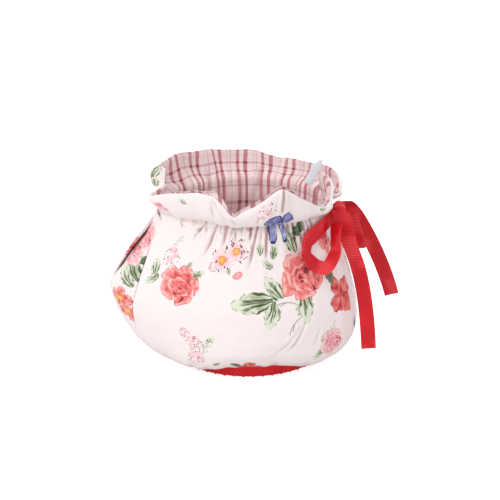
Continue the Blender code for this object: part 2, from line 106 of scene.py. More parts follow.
# Rim of the ruffle: bearing, reach, height, bulge under the rim
FRONT_RIM = (
    (-184.8, 66.0, 134.0, 1.0),
    (-179.4, 70.6, 132.6, 5.0),
    (-173.2, 76.4, 129.8, 9.0),
    (-164.4, 75.4, 132.6, 9.0),
    (-154.8, 74.0, 136.6, 8.0),
    (-140.8, 73.6, 142.0, 6.0),
    (-128.5, 74.6, 145.4, 5.0),
    (-117.7, 75.6, 147.8, 5.0),
    (-110.2, 76.2, 147.0, 5.0),
    (-104.5, 76.4, 141.6, 5.5),
    (-97.6, 76.0, 131.6, 6.0),
    (-93.4, 75.6, 136.0, 6.0),
    (-86.0, 76.0, 141.2, 5.5),
    (-81.2, 76.6, 145.4, 5.0),
    (-71.3, 76.6, 152.8, 4.0),
    (-65.7, 75.7, 149.0, 5.0),
    (-60.1, 74.8, 144.4, 7.0),
    (-51.8, 73.2, 138.8, 9.0),
    (-43.7, 72.0, 133.8, 10.0),
    (-35.0, 71.0, 131.0, 9.0),
    (-25.7, 70.4, 133.2, 6.0),
    (-18.1, 68.2, 138.2, 4.0),
    (-11.8, 64.2, 143.2, 3.0),
    (-4.0, 57.0, 146.5, 1.0),
)
BACK_RIM = (
    (-1.2, 67.4, 126.4, 2.0),
    (3.9, 73.2, 127.8, 4.0),
    (10.1, 74.2, 134.0, 6.0),
    (15.9, 73.2, 139.4, 7.0),
    (22.5, 72.4, 141.0, 7.0),
    (31.0, 73.4, 140.0, 8.0),
    (43.4, 73.2, 138.2, 6.0),
    (53.7, 71.6, 138.6, 4.0),
    (65.8, 73.2, 137.6, 4.0),
    (75.6, 71.8, 139.8, 4.0),
    (85.7, 73.4, 142.4, 4.0),
    (98.9, 72.0, 143.4, 4.0),
    (114.7, 73.6, 144.4, 4.0),
    (127.7, 71.6, 145.6, 4.0),
    (141.3, 74.2, 146.8, 4.0),
    (154.2, 76.0, 144.6, 6.0),
    (162.0, 79.6, 142.0, 8.0),
    (167.4, 80.0, 141.2, 8.0),
    (170.6, 74.6, 144.2, 6.0),
    (172.6, 69.4, 146.6, 3.0),
    (173.8, 65.6, 145.0, 1.0),
)
# The ruffle swells on its way from neck to rim: its middle's part of the way out and up
RUFFLE_PUFF = 0.72
RUFFLE_RISE = 0.30
RUFFLE_FOLD_AT_RIM = 0.3    # the part of a fold's depth that reaches the rim

# Soft folds in the body: bearing, width, depth, height of the deepest point, half length
FOLDS = (
    (-168.0, 5.0, 1.2, 96.0, 40.0),
    (-146.0, 6.0, 1.6, 104.0, 34.0),
    (-131.0, 5.0, 1.4, 106.0, 30.0),
    (-117.0, 5.5, 1.8, 108.0, 36.0),
    (-103.0, 5.0, 1.5, 108.0, 28.0),
    (-88.0, 6.0, 1.7, 106.0, 34.0),
    (-74.0, 5.0, 1.5, 108.0, 26.0),
    (-60.0, 6.0, 1.8, 106.0, 36.0),
    (-44.0, 5.5, 1.4, 104.0, 30.0),
    (-28.0, 5.5, 1.5, 104.0, 36.0),
    (-76.0, 9.0, 1.4, 20.0, 16.0),
    (-112.0, 10.0, 1.3, 20.0, 18.0),
    (24.0, 6.0, 1.6, 104.0, 34.0),
    (42.0, 6.0, 1.5, 106.0, 30.0),
    (60.0, 6.5, 1.8, 104.0, 38.0),
    (80.0, 6.0, 1.5, 106.0, 30.0),
    (99.0, 6.5, 1.7, 104.0, 36.0),
    (118.0, 6.0, 1.5, 106.0, 32.0),
    (138.0, 6.5, 1.6, 104.0, 34.0),
)
# Folds in the ruffle: bearing, width, depth
RUFFLE_FOLDS = (
    (-150.0, 4.5, 1.8),
    (-122.0, 4.0, 1.6),
    (-97.5, 4.5, 2.6),
    (-66.0, 4.0, 2.6),
    (-47.0, 4.0, 1.6),
    (-22.0, 5.0, 1.8),
    (36.0, 6.0, 2.2),
    (62.0, 6.0, 2.2),
    (90.0, 6.0, 1.8),
    (121.0, 6.5, 2.4),
    (150.0, 6.0, 2.0),
)
# Parts of the way from the knit seam to the neck
STRIP_TOP_ROW = 0.94        # a side strip ends here
STRIP_TOP_RISE = 0.012      # and this much higher at the slit
PANEL_TURNS_AT = 0.95       # a panel's edge turns to the pinch from here on
LINING_MEETS_PANEL = (0.80, 0.94)   # the lining narrows to its panel's width between these

END_CROWDING = 0.35         # columns are this much closer together at a panel's ends

# Ribbon routes: x, y, z of the middle line from the axis, then the bearing and the slope of
# the direction across the ribbon
NECK_END = (
    (57.0, 0.0, 107.0, 90.0, 86.0),
    (63.0, -0.2, 108.0, 90.0, 84.0),
    (68.0, -1.2, 110.5, 90.0, 78.0),
    (71.5, -3.4, 113.5, 90.0, 70.0),
)
FRONT_LOOP = (
    (65.0, -19.8, 115.0, -125.0, 64.0),
    (59.4, -30.2, 113.2, -132.0, 60.0),
    (53.2, -42.2, 111.6, -158.0, 53.0),
    (47.4, -49.3, 108.9, -166.0, 42.0),
    (43.9, -54.4, 104.3, -134.7, 26.9),
    (43.1, -59.3, 99.7, -127.3, 7.3),
    (46.9, -58.2, 93.2, -123.0, -16.0),
    (52.0, -56.2, 88.0, -112.0, -34.0),
    (57.1, -56.0, 86.6, -80.0, -38.0),
    (62.4, -51.6, 90.9, -56.0, -20.0),
    (66.0, -41.2, 96.4, -51.5, -4.0),
    (66.0, -36.0, 103.6, -55.2, 6.0),
    (66.2, -33.4, 109.0, -52.0, 8.0),
    (67.4, -32.6, 113.6, -46.0, 8.0),
)
BACK_LOOP = (
    (77.0, -6.5, 116.0, -4.0, 6.0),
    (80.5, -6.5, 107.0, -6.0, 8.0),
    (84.5, -6.0, 95.0, -8.0, 10.0),
    (87.5, -3.5, 85.0, -10.0, 12.0),
    (87.0, 1.5, 81.5, -10.0, 12.0),
    (83.5, 5.5, 87.0, -8.0, 10.0),
    (79.5, 6.0, 98.0, -4.0, 6.0),
    (76.5, 3.5, 108.0, -2.0, 2.0),
)
FRONT_TAIL = (
    (69.8, -24.0, 121.0, -12.0, -6.0),
    (72.4, -29.0, 112.0, -14.0, 2.0),
    (77.0, -31.0, 98.0, -14.0, 8.0),
    (83.2, -32.5, 82.0, -14.0, 8.0),
    (88.0, -35.0, 64.0, -16.0, 4.0),
    (91.0, -38.5, 46.0, -18.0, 2.0),
    (92.8, -42.0, 29.0, -18.0, 6.0),
    (93.8, -44.5, 14.8, -18.0, 12.0),
)
BACK_TAIL = (
    (70.5, -3.0, 121.0, -24.0, 20.0),
    (76.5, 3.5, 118.0, -14.0, 26.0),
    (83.5, 9.0, 110.0, -4.0, 28.0),
    (92.0, 13.0, 96.0, 4.0, 26.0),
    (101.0, 15.0, 79.0, 8.0, 22.0),
    (109.5, 17.5, 60.0, 8.0, 18.0),
    (115.5, 19.0, 44.0, 8.0, 14.0),
    (118.6, 20.0, 33.8, 8.0, 10.0),
)
# Node, route, flat length of the ribbon piece
RIBBONS = (
    ("ribbon_neck_end", NECK_END, 22.0),
    ("ribbon_front_loop", FRONT_LOOP, 108.0),
    ("ribbon_back_loop", BACK_LOOP, 76.0),
    ("ribbon_front_tail", FRONT_TAIL, 112.0),
    ("ribbon_back_tail", BACK_TAIL, 108.0),
)
EVEN_WIDTH = ((0.0, 1.0), (1.0, 1.0))   # place along a ribbon, part of its full width
FRONT_TAIL_SPREAD = ((0.0, 1.30), (0.10, 1.24), (0.22, 1.04), (0.32, 1.0), (1.0, 1.0))
KNOT_CENTRE = (70.2, -13.0, 118.5)
KNOT_SIZE = (10.0, 15.0, 12.0)
LABEL_ROUTE = (
    (45.6, 9.0, 133.0, -20.0, -26.0),
    (49.5, 10.0, 138.0, -20.0, -26.0),
    (53.0, 11.0, 145.0, -20.0, -28.0),
    (57.5, 12.0, 151.5, -20.0, -30.0),
)

# ---------------------------------------------------------------- the cut pieces, mm
PANEL_WIDTH = 240.0         # a panel's flat width, gathered in at the neck
STRIP_WIDTH = 46.0
RUFFLE_RUN = 36.0           # from the drawstring to the rim
ROUNDING = 1.0              # a turned edge is rounded over this width
EDGE_STEPS = (0.0, 0.12, 0.35, 0.65, 1.0)    # grid lines over a turned edge, in roundings
LABEL_SIZE = (7.0, 0.6)     # width and thickness
LABEL_TAPER = ((0.0, 0.78), (0.25, 1.0), (0.62, 1.0), (0.9, 0.62), (1.0, 0.28))
# The lining stands this much higher along the front panel's rim: place across, height
WIDE_LIP = (
    (-34.0, 0.0), (-25.0, 2.6), (-16.0, 4.6), (-7.0, 4.6), (0.0, 3.2), (9.0, 2.2), (24.0, 0.2), (34.0, 0.0),
)
LIP_ROLL = 1.3              # the lining rolls outward this much over the panel's rim
RIB_STEPS = 4               # grid lines per rib of a tape
TAPE_GRID = (12, 24)        # columns, and the fewest rows
RIB_HEIGHT = 0.06
RIBBON_CURL = -0.35         # the ribbon's edges curl back this far
LABEL_PITCH = 0.7           # the label is flat, so this only spaces its rows
LABEL_CURL = -0.5
KNOT_GRID = (96, 64)        # turns and rings
KNOT_FOLD = 0.09            # depth of the knot's folds, for its half size
KNOT_FOLDS = (8.0, 1.4)     # how close they lie, and how much they sway
KNOT_SPREAD = 1.34          # the knot's cloth lies over the ends of its loops and tails
KNOT_RIB = 0.012
KNOT_RIBS = 26
KNOT_WAIST = 0.97
KNOT_SQUARE = 1.35          # its ends are at most this much squarer than a ball's
ROLL_TO_Y = Matrix.Rotation(math.pi / 2.0, 3, "X")
KNIT_INNER = 62.4
KNIT_OUTER = 65.2
KNIT_HEIGHT = 11.6
KNIT_LIFT = 0.5             # the ring behind the stitches starts this high
BACKING_INSET = 1.0         # and stands this far in from the base's outside
BACKING_GRID = (336, 7)     # turns and rings
STITCH_INSET = 0.85         # a stitch's middle, from the base's outside
STITCH_DROP = 0.2           # and the rows end this far below its upper edge
STITCH_LEAN = 0.42          # radians
STITCH_SIZE = (0.36, 0.34, 0.66)    # half width, depth and height, in stitches
STITCH_HALF = (6, 5)        # segments and rings of half a stitch
STITCH_APART = 0.30         # the two halves of a stitch, from its middle, in stitches
ROW_HEIGHT = 0.55           # a stitch's middle in its row
KNIT_RIB = 0.0006           # metres that every other column stands back
KNIT_WAVE = 0.0003          # and that the base is uneven by
KNIT_RAGGED = 0.0007        # and that its lowest row is lifted by in places
SEAM_INSET = 3.0            # the topstitching, from the handle slit's edge
SEAM_RUN = (0.14, 0.97, 90)     # its ends, as parts of the way up to the neck, and its points
SEAM_THREAD = (8, 6)        # segments and rings of one thread
SEAM_STANDS = 0.15          # its threads' middles, off the cloth
STITCH_PART = 0.72          # a stitch's length for the spacing

# The print and the plaid are laid round the cosy: mm of cloth for each degree
PANEL_MM_PER_DEGREE = 4.0 / 3.0
STRIP_MM_PER_DEGREE = 0.966
LINING_GRID = (290, 110)        # columns and rows
STRIP_GRID = (44, 120)
NECK_ROWS = (0.925, 1.035, 34)  # grid rows are closer between these heights, as creases turn here
# Gathers: spacing, narrowest and widest crease in degrees, shallowest and deepest, then the
# shortest and longest run down the cloth and up it, mm
NECK_GATHERS = (4.8, 0.5, 0.95, 0.25, 1.0, (10.0, 44.0), (1.5, 4.0))
FINE_GATHERS = (2.9, 0.45, 0.6, 0.2, 0.9, (7.0, 26.0), (1.0, 3.0))
HEM_GATHERS = (6.5, 1.0, 2.2, 0.3, 0.9, (6.0, 12.0), (14.0, 40.0))
RUFFLE_GATHERS = (7.5, 1.0, 2.2, 0.1, 0.7, (5.0, 6.0), (8.0, 20.0))
STRIP_GATHERS = (4.8, 0.5, 0.95, 0.25, 1.0, (14.0, 40.0), (6.0, 8.0))
LINING_GATHERS = (5.2, 0.8, 1.7, 0.7, 1.8, (14.0, 50.0), (20.0, 40.0))
HEM_GATHERS_AT = 3.0        # the hem's gathers are deepest this far up the cloth
RUFFLE_GATHERS_AT = 5.0     # and the ruffle's this far above the neck
BACK_GATHER_STRENGTH = 1.8
NECK_LEAN = 0.004           # creases lean away from the middle, more so further out
SLANT = 0.04                # and up to this much either way, in degrees for each mm
END_WIDENING = 0.9          # a crease is this much wider where it ends
RIDGE = (0.32, 2.2)         # ridges beside a crease: height for its depth, place in its widths
PRESSED_ENDS = (-0.12, 0.05)    # a single crease starts here, as parts of its length
PRESSED_WIDENING = 0.5      # and is this much wider at its lower end
FULL_CREASE = 1.4           # a crease this deep takes the full painted shade
CREASE_DARKENS = 1.1        # and the power at which its painted shade grows
CREASE_LIMITS = (-0.8, 1.9)     # highest ridge and deepest valley
NECK_SHADE = 0.12           # painted shade: the cloth is this much darker in the neck's groove
# Padding: longest and shortest wave, mm, and the waves' share of the puff
WAVES = 9
SWELL = (90.0, 34.0, 1.0)
CRUMPLE = (22.0, 9.0, 0.22)
STRIP_SWELL = (60.0, 24.0, 0.7)
STRIP_GATHER_PART = 0.6     # a strip's gathers are this much of the setting's depth
EDGE_RELIEF = 0.35          # the part of the relief that is left at a turned edge
LINING_RAISED = (46.0, 6.0)     # its folds start this far below the neck, and are full here
LINING_ROLL = 1.1           # between creases it stands this far into the hollow
LINING_FLATTER = 0.7        # and is this much flatter at its rim
LINING_FLATTENS = 12.0      # from this far above the neck
LINING_LIMITS = (-0.5, 1.7)     # its highest ridge and deepest valley
LINING_FULL_CREASE = 1.5    # its creases take the full painted shade from this depth
LINING_LEAST = -0.35        # and stand back at most this far
LIP_TURNS = 0.4             # the lip starts to roll outward this far under the panel's rim
EAR_TURNS = (24.0, 44.0)    # the front lining is pleated up to its rim from here on
HEM_SHADE = (0.75, 4.0, 32.0)   # painted shade: the cloth darkens to the hem: how much, between these heights
# The drawstring draws the cloth in at the neck: depth, width up and down, mm
NECK_GROOVE = (1.6, 3.2)
# How strongly the front panel is gathered, in degrees from its middle
GATHER_STRENGTH = (
    (-90.0, 0.3), (-46.0, 0.3), (-30.0, 1.1), (-6.0, 1.4), (20.0, 1.4), (32.0, 1.7), (60.0, 1.4), (90.0, 0.9),
)
# Single creases of the front panel: bearing and place up its top, the same of its lower end,
# the part of it that keeps its depth, width in degrees, depth
FRONT_CREASES = (
    (-70.4, 171.0, -70.6, 148.0, 0.70, 0.65, 2.6),
    (-110.6, 165.0, -110.4, 143.0, 0.50, 1.7, 0.8),
    (-108.6, 164.0, -100.6, 146.0, 0.60, 1.0, 0.9),
    (-99.4, 160.0, -96.0, 146.0, 0.50, 0.9, 0.9),
    (-84.0, 152.0, -86.0, 140.0, 0.40, 0.9, 0.9),
    (-112.3, 133.0, -121.6, 99.0, 0.30, 0.85, 1.8),
    (-104.3, 133.0, -108.0, 112.0, 0.35, 0.85, 1.9),
    (-119.6, 133.0, -134.6, 110.0, 0.25, 0.85, 1.3),
    (-97.4, 133.0, -99.8, 116.0, 0.30, 0.75, 1.4),
    (-100.5, 133.0, -103.4, 114.0, 0.30, 0.70, 1.1),
    (-87.6, 133.0, -90.2, 116.0, 0.35, 0.80, 1.7),
    (-83.6, 133.0, -91.4, 93.0, 0.40, 0.90, 1.7),
    (-80.6, 133.0, -82.2, 114.0, 0.30, 0.70, 0.9),
    (-76.6, 133.0, -79.6, 104.0, 0.40, 0.80, 1.8),
    (-62.4, 133.0, -61.0, 118.0, 0.40, 0.80, 1.8),
    (-58.6, 133.0, -56.2, 112.0, 0.50, 0.90, 2.4),
    (-54.4, 133.0, -51.0, 114.0, 0.50, 0.80, 2.2),
    (-50.6, 133.0, -46.6, 112.0, 0.50, 0.85, 2.4),
    (-46.2, 133.0, -42.6, 110.0, 0.45, 0.85, 2.0),
    (-41.8, 133.0, -39.0, 110.0, 0.40, 0.85, 1.6),
    (-139.0, 131.0, -144.0, 106.0, 0.20, 0.80, 0.6),
    (-59.9, 58.0, -72.2, 29.0, 0.50, 0.90, 1.0),
    (-62.9, 56.0, -79.8, 25.0, 0.50, 0.80, 0.9),
    (-51.2, 49.0, -57.4, 33.0, 0.40, 0.90, 0.7),
)

# ---------------------------------------------------------------- the print
# Sheets of motifs: a cell's column is the kind, its row the variation
BLOOM_KINDS = ("rose", "daisy", "poppy", "blossom", "bow", "bud")
LEAF_KINDS = ("leaf", "stem", "sprig")
CELL_HALF = 0.45            # a motif's half size in its cell
CELL_REACH = 1.12           # faces this near a motif, in half sizes, are laid over its cell
BLANK_CELL = (-4.5, 0.5)    # and all the others here, where nothing is drawn
LEAF_SLIM = 0.62            # a leaf cell's height for its length
PALE_ROW = 5                # variations from this row up are paler, or darker on leaves

# kind, variation, across, up, half size, turn
ROSE_SPRAY = (
    ("rose", 1, 1.2, 0.5, 22.6, 12.0),
    ("leaf", 1, -23.5, -6.4, 11.2, 126.0),
    ("leaf", 2, -39.6, -16.6, 15.2, -172.0),
    ("leaf", 3, -26.0, -26.0, 11.2, -102.0),
    ("leaf", 4, -1.6, -23.3, 13.0, -92.0),
    ("stem", 1, -9.8, -35.0, 10.0, -133.0),
    ("stem", 2, -14.7, -19.0, 10.1, 174.0),
    ("leaf", 0, -32.3, 23.3, 5.4, 90.0),
    ("leaf", 2, -20.3, 20.6, 6.3, 73.0),
    ("leaf", 4, -26.8, 11.1, 5.4, 145.0),
    ("leaf", 1, -2.6, 27.5, 10.6, 103.0),
    ("leaf", 6, 4.9, 33.9, 8.1, 33.0),
    ("leaf", 7, 28.3, -6.9, 8.6, -84.0),
    ("poppy", 1, 37.0, -25.5, 18.6, -30.0),
    ("rose", 4, 37.4, 19.0, 12.0, 60.0),
)
SMALL_ROSE_SPRAY = (
    ("rose", 2, 0.0, 0.0, 17.6, -20.0),
    ("blossom", 1, -14.1, 18.0, 9.0, 0.0),
    ("leaf", 0, -24.2, 8.5, 6.5, 110.0),
    ("leaf", 3, -22.6, -1.1, 6.2, -129.0),
    ("leaf", 2, 12.7, 9.0, 5.9, 32.0),
    ("leaf", 1, 4.8, 15.5, 4.2, 70.0),
    ("sprig", 1, -12.8, 30.7, 6.6, 45.0),
)
DAISY_SPRAY = (
    ("daisy", 1, 0.1, -0.6, 10.8, 0.0),
    ("daisy", 2, 11.7, 6.4, 10.3, 40.0),
    ("bud", 1, 13.8, -11.0, 5.5, -20.0),
    ("blossom", 5, -6.6, -6.0, 5.2, 0.0),
    ("leaf", 0, 16.8, 14.0, 3.3, 36.0),
    ("leaf", 1, 6.4, -9.0, 3.6, -74.0),
)
SPRIG_SPRAY = (
    ("blossom", 2, 0.0, 0.0, 7.1, 0.0),
    ("blossom", 3, 1.9, -11.6, 7.4, 50.0),
    ("blossom", 4, -7.0, 6.9, 4.8, 20.0),
    ("sprig", 2, 8.5, -2.0, 7.2, 66.0),
    ("leaf", 3, 7.3, -1.6, 4.6, 106.0),
    ("leaf", 0, 11.4, 4.2, 4.7, 55.0),
    ("leaf", 2, 16.0, -18.0, 3.7, 31.0),
)
PALE_ROSE_SPRAY = (
    ("rose", 6, 0.0, 0.0, 12.9, 35.0),
    ("leaf", 2, 0.3, 8.0, 5.5, 66.0),
    ("leaf", 3, -8.5, 5.8, 4.7, 98.0),
    ("leaf", 4, -12.8, -5.8, 5.6, -122.0),
    ("stem", 3, 1.7, 14.0, 4.5, 36.0),
)
# A spray, its place across and up, and its turn; or a single motif, as in the sprays
FRONT_PRINT = (
    (ROSE_SPRAY, 42.3, 92.6, 0.0),
    (SMALL_ROSE_SPRAY, -53.3, 84.2, 0.0),
    (DAISY_SPRAY, -22.1, 107.4, 0.0),
    (SPRIG_SPRAY, -37.2, 41.8, 0.0),
    (PALE_ROSE_SPRAY, 62.4, 34.9, 0.0),
    ("blossom", 6, 12.9, 157.3, 8.4, 0.0),
    ("bow", 1, 26.0, 134.0, 17.0, 0.0),
    ("poppy", 3, 1.2, 16.0, 10.5, 0.0), ("leaf", 7, -8.4, 21.0, 4.6, 150.0),
    ("rose", 7, -87.1, 151.0, 7.6, 80.0), ("rose", 6, -80.0, 146.0, 4.5, 30.0),
    ("leaf", 1, -53.4, 161.2, 4.5, 148.0),
    ("leaf", 2, -113.1, 163.0, 5.8, 90.0),
    ("leaf", 4, 67.3, 162.7, 6.6, 44.0),
    ("blossom", 7, 1.5, 132.0, 4.0, 0.0),
    ("bow", 2, 97.1, 35.5, 6.0, 20.0),
)
BACK_PRINT = (
    (ROSE_SPRAY, -41.4, 60.0, 170.0),
    (SMALL_ROSE_SPRAY, 38.0, 82.0, 15.0),
    (SMALL_ROSE_SPRAY, -70.5, 104.0, 200.0),
    (DAISY_SPRAY, 2.6, 96.0, 60.0),
    (DAISY_SPRAY, -98.8, 40.0, 0.0),
    (SPRIG_SPRAY, 9.1, 34.0, 20.0),
    (PALE_ROSE_SPRAY, 53.2, 28.0, 110.0),
    (SPRIG_SPRAY, -21.8, 146.0, 90.0),
    (PALE_ROSE_SPRAY, 39.1, 148.0, 10.0),
    (PALE_ROSE_SPRAY, -72.8, 150.0, 60.0),
    ("leaf", 3, 106.1, 165.0, 8.4, 76.0), ("leaf", 1, 106.0, 154.0, 6.6, 95.0),
    ("leaf", 2, -104.2, 152.0, 7.2, 114.0), ("blossom", 7, -108.9, 144.0, 6.0, 0.0),
)
FRONT_STRIP_PRINT = (
    ("rose", 6, -4.5, 114.0, 12.5, 30.0),
    ("rose", 7, -3.5, 98.5, 11.0, 130.0),
    ("leaf", 2, 2.6, 91.0, 12.0, 139.0), ("leaf", 4, 1.6, 82.0, 9.0, 150.0),
    ("leaf", 7, 8.0, 100.0, 6.0, 40.0),
    ("leaf", 3, 3.4, 99.0, 6.0, 60.0),
    ("poppy", 6, 3.3, 64.5, 10.0, 0.0), ("poppy", 7, 8.3, 55.5, 8.4, 50.0),
)
BACK_STRIP_PRINT = (
    ("rose", 2, -1.2, 92.0, 13.8, 210.0),
    (DAISY_SPRAY, -1.9, 50.0, 80.0),
    ("leaf", 1, 1.4, 66.0, 9.2, 66.0), ("leaf", 4, 3.6, 57.0, 6.8, 0.0),
)

# ---------------------------------------------------------------- colours, as light they return
GROUND = (0.955, 0.86, 0.85)
CREASE_SHADE = (0.60, 0.44, 0.43)
CORAL = ((0.30, 0.03, 0.05), (0.60, 0.08, 0.09), (0.88, 0.20, 0.19), (0.95, 0.33, 0.31), (0.97, 0.56, 0.53))
PINK = ((0.45, 0.06, 0.11), (0.74, 0.20, 0.25), (0.89, 0.40, 0.43), (0.94, 0.58, 0.60), (0.96, 0.76, 0.76))
BLUSH = ((0.80, 0.25, 0.33), (0.91, 0.44, 0.50), (0.94, 0.58, 0.63), (0.95, 0.70, 0.73), (0.95, 0.80, 0.81))
POPPY = ((0.20, 0.01, 0.02), (0.50, 0.03, 0.05), (0.76, 0.11, 0.10), (0.89, 0.25, 0.22), (0.94, 0.50, 0.46))
PLUM = (0.10, 0.02, 0.05)
YELLOW = (0.93, 0.56, 0.10)
AMBER = (0.82, 0.24, 0.10)
STALK = (0.24, 0.24, 0.19, 1.0)
LEAF_PALE = (0.77, 0.81, 0.66)
LEAF_MID = (0.36, 0.43, 0.23)
LEAF_DARK = (0.080, 0.115, 0.045)
LEAF_DEEP = (0.05, 0.11, 0.035)
LILAC = (0.30, 0.32, 0.62)
LILAC_PALE = (0.64, 0.66, 0.93)
LILAC_MID = (0.14, 0.15, 0.38)
LILAC_DARK = (0.025, 0.025, 0.13)
PLAID_GROUND = ((0.94, 0.82, 0.81), (0.92, 0.70, 0.71))
PLAID_RED = (0.58, 0.20, 0.25)     # what is left of the light after a stripe
PLAID_CROSS = (0.60, 0.42, 0.46)
PLAID_TAUPE = (0.70, 0.60, 0.60)
RIBBON_RED = (0.86, 0.009, 0.021)
# painted highlight on the ribbon's rib crests
RIBBON_HIGHLIGHT = (0.95, 0.13, 0.14)
KNIT_RED = (1.0, 0.045, 0.055)
LABEL_WHITE = ((0.62, 0.66, 0.72), (0.84, 0.87, 0.90))
THREAD_PINK = ((0.74, 0.56, 0.55), (0.88, 0.76, 0.75))
WEAVE_PITCH = 0.45                 # of the cotton's threads, mm
RIBBON_WEAVE_PITCH = 0.5
LABEL_WEAVE_PITCH = 0.35
KNIT_SLANT = 2600.0                # how fast the knit's rows lean, radians to the metre
KNIT_SEAM = (67.4, 12.9)           # reach and height of the knit's edge in the cloth's seam

# ---------------------------------------------------------------- stage, metres
FLOOR_HALF = 6.0
FLOOR_LEVEL = -0.0002
FLOOR_WHITE = (0.80, 0.80, 0.80, 1.0)   # its own colour, and its glow to the camera
WORLD_FILL = 0.78
# Light, place, size, power
LIGHTS = (
    ("key", (-0.72, -0.80, 0.95), 0.7, 5.8),
    ("right", (0.95, -0.55, 0.7), 0.9, 0.85),
    ("top", (0.0, 0.15, 1.3), 0.9, 1.6),
)
LIT_HEIGHT = 0.08           # the lights point at this height of the axis
CAMERA_PLACE = (-0.0059, -0.820, 0.382)
CAMERA_TILT = 69.8
CAMERA_LENS = 78.9

# ---------------------------------------------------------------- the two sides
# Bearings of the panel's and the strip's middles, rim, prints, the panel's grid, and seeds
FRONT = SimpleNamespace(
    name="front", middle=-90.0, strip_middle=-165.0, rim=FRONT_RIM, panel_print=FRONT_PRINT,
    strip_print=FRONT_STRIP_PRINT, panel_grid=(340, 104), panel_seed=11, lining_seed=37, strip_seed=71,
)
BACK = SimpleNamespace(
    name="back", middle=90.0, strip_middle=165.0, rim=BACK_RIM, panel_print=BACK_PRINT,
    strip_print=BACK_STRIP_PRINT, panel_grid=(252, 90), panel_seed=23, lining_seed=53, strip_seed=83,
)


# ---------------------------------------------------------------- curves and surfaces
def smooth_columns(xs, rows, at):
    """Read every column of rows at the places at, along a smooth curve without overshoot."""
    xs = np.asarray(xs, float)
    rows = np.asarray(rows, float)
    at = np.clip(np.asarray(at, float), xs[0], xs[-1])
    steps = np.diff(xs)
    slopes = np.diff(rows, axis=0) / steps[:, None]
    tangents = np.zeros_like(rows)
    tangents[0] = slopes[0]
    tangents[-1] = slopes[-1]
    same_sign = slopes[:-1] * slopes[1:] > 0.0
    mean = 2.0 * slopes[:-1] * slopes[1:] / np.where(same_sign, slopes[:-1] + slopes[1:], 1.0)
    tangents[1:-1] = np.where(same_sign, mean, 0.0)
    index = np.clip(np.searchsorted(xs, at, side="right") - 1, 0, len(xs) - 2)
    step = steps[index][:, None]
    t = (at - xs[index])[:, None] / step
    start, end = rows[index], rows[index + 1]
    return (
        (1 + 2 * t) * (1 - t) ** 2 * start
        + t * (1 - t) ** 2 * step * tangents[index]
        + t * t * (3 - 2 * t) * end
        + t * t * (t - 1) * step * tangents[index + 1]
    )


def path_fractions(points):
    """How far along its own length each point of a path lies, from 0 to 1."""
    lengths = np.linalg.norm(np.diff(points, axis=0), axis=1)
    run = np.concatenate([[0.0], np.cumsum(lengths)])
    return run / run[-1]


def smooth_step(value):
    value = np.clip(value, 0.0, 1.0)
    return value * value * (3.0 - 2.0 * value)


def between(value, low, high):
    """0 below low, 1 above high and smooth between."""
    return smooth_step((value - low) / (high - low))


def apart(bearing, middle):
    """How far round the cosy a bearing lies from the middle one, from -180 to 180 degrees."""
    return (bearing - middle + 180.0) % 360.0 - 180.0


def turned(bearing, reach, height):
    """Points of the cosy, in mm, from bearings, reaches and heights."""
    angle = np.radians(bearing)
    return np.stack([AXIS_X + reach * np.cos(angle), reach * np.sin(angle), height], axis=-1)


PROFILE_POINTS = np.array([row[:2] for row in PROFILE])
PROFILE_PLACES = path_fractions(PROFILE_POINTS)
PROFILE_VALUES = np.array(PROFILE)
BODY_RUN = float(np.linalg.norm(np.diff(PROFILE_POINTS, axis=0), axis=1).sum())


def profile_at(part_up):
    """Height, reach and spout bulge at places from the seam (0) to the neck (1)."""
    values = smooth_columns(PROFILE_PLACES, PROFILE_VALUES, part_up)
    return values[:, 0], values[:, 1], values[:, 2]


def body_surface(bearing, part_up):
    """Outer surface of the body below the drawstring."""
    height, reach, bulge = profile_at(part_up)
    angle = np.radians(bearing)
    reach = reach + bulge * np.maximum(0.0, -np.cos(angle)) ** SPOUT_POWER
    low, high = HEM_LIFT_FADES
    off = (bearing - HEM_LIFT_BEARING) / HEM_LIFT_WIDTH
    fade = 1.0 - between(height, low, high)
    leaves_seam = smooth_step(part_up / PROFILE_PLACES[1])
    for fold_bearing, width, depth, deepest, half_length in FOLDS:
        across = apart(bearing, fold_bearing)
        along = np.maximum(0.0, 1.0 - ((height - deepest) / half_length) ** 2)
        reach = reach - depth * np.exp(-((across / width) ** 2)) * along
    height = height + HEM_LIFT * np.exp(-(off**4)) * fade * leaves_seam
    return turned(bearing, reach, height)


def slit_half_angle(slit, part_up, margin=0.0):
    """Half the slit's opening, in degrees, at places up the body, with the seam gap."""
    low, high, half_width = slit
    height, reach, bulge = profile_at(part_up)
    if slit is SPOUT_SLIT:
        reach = reach + bulge
    up = np.clip((height - low) / (high - low), 0.0, 1.0)
    opening = half_width * np.sqrt(np.maximum(0.0, np.sin(np.pi * up**SLIT_SKEW)))
    opening[up <= 0.0] = 0.0
    opening[up >= 1.0] = 0.0
    return np.degrees((opening + SEAM_HALF_GAP + margin) / reach)


def seam_bearing(part_up, neck_bearing):
    """Bearing of a panel's edge on the spout side, which runs to neck_bearing at the neck."""
    height, _, _ = profile_at(part_up)
    below = SEAM_BEARING + (NECK_SEAM_BEARING - SEAM_BEARING) * between(height, *SEAM_TURNS)
    last = np.clip((part_up - PANEL_TURNS_AT) / (1.0 - PANEL_TURNS_AT), 0.0, 1.0)
    return below + (neck_bearing - below) * last


def crowd_ends(across):
    return across - END_CROWDING * np.sin(TAU * across) / TAU


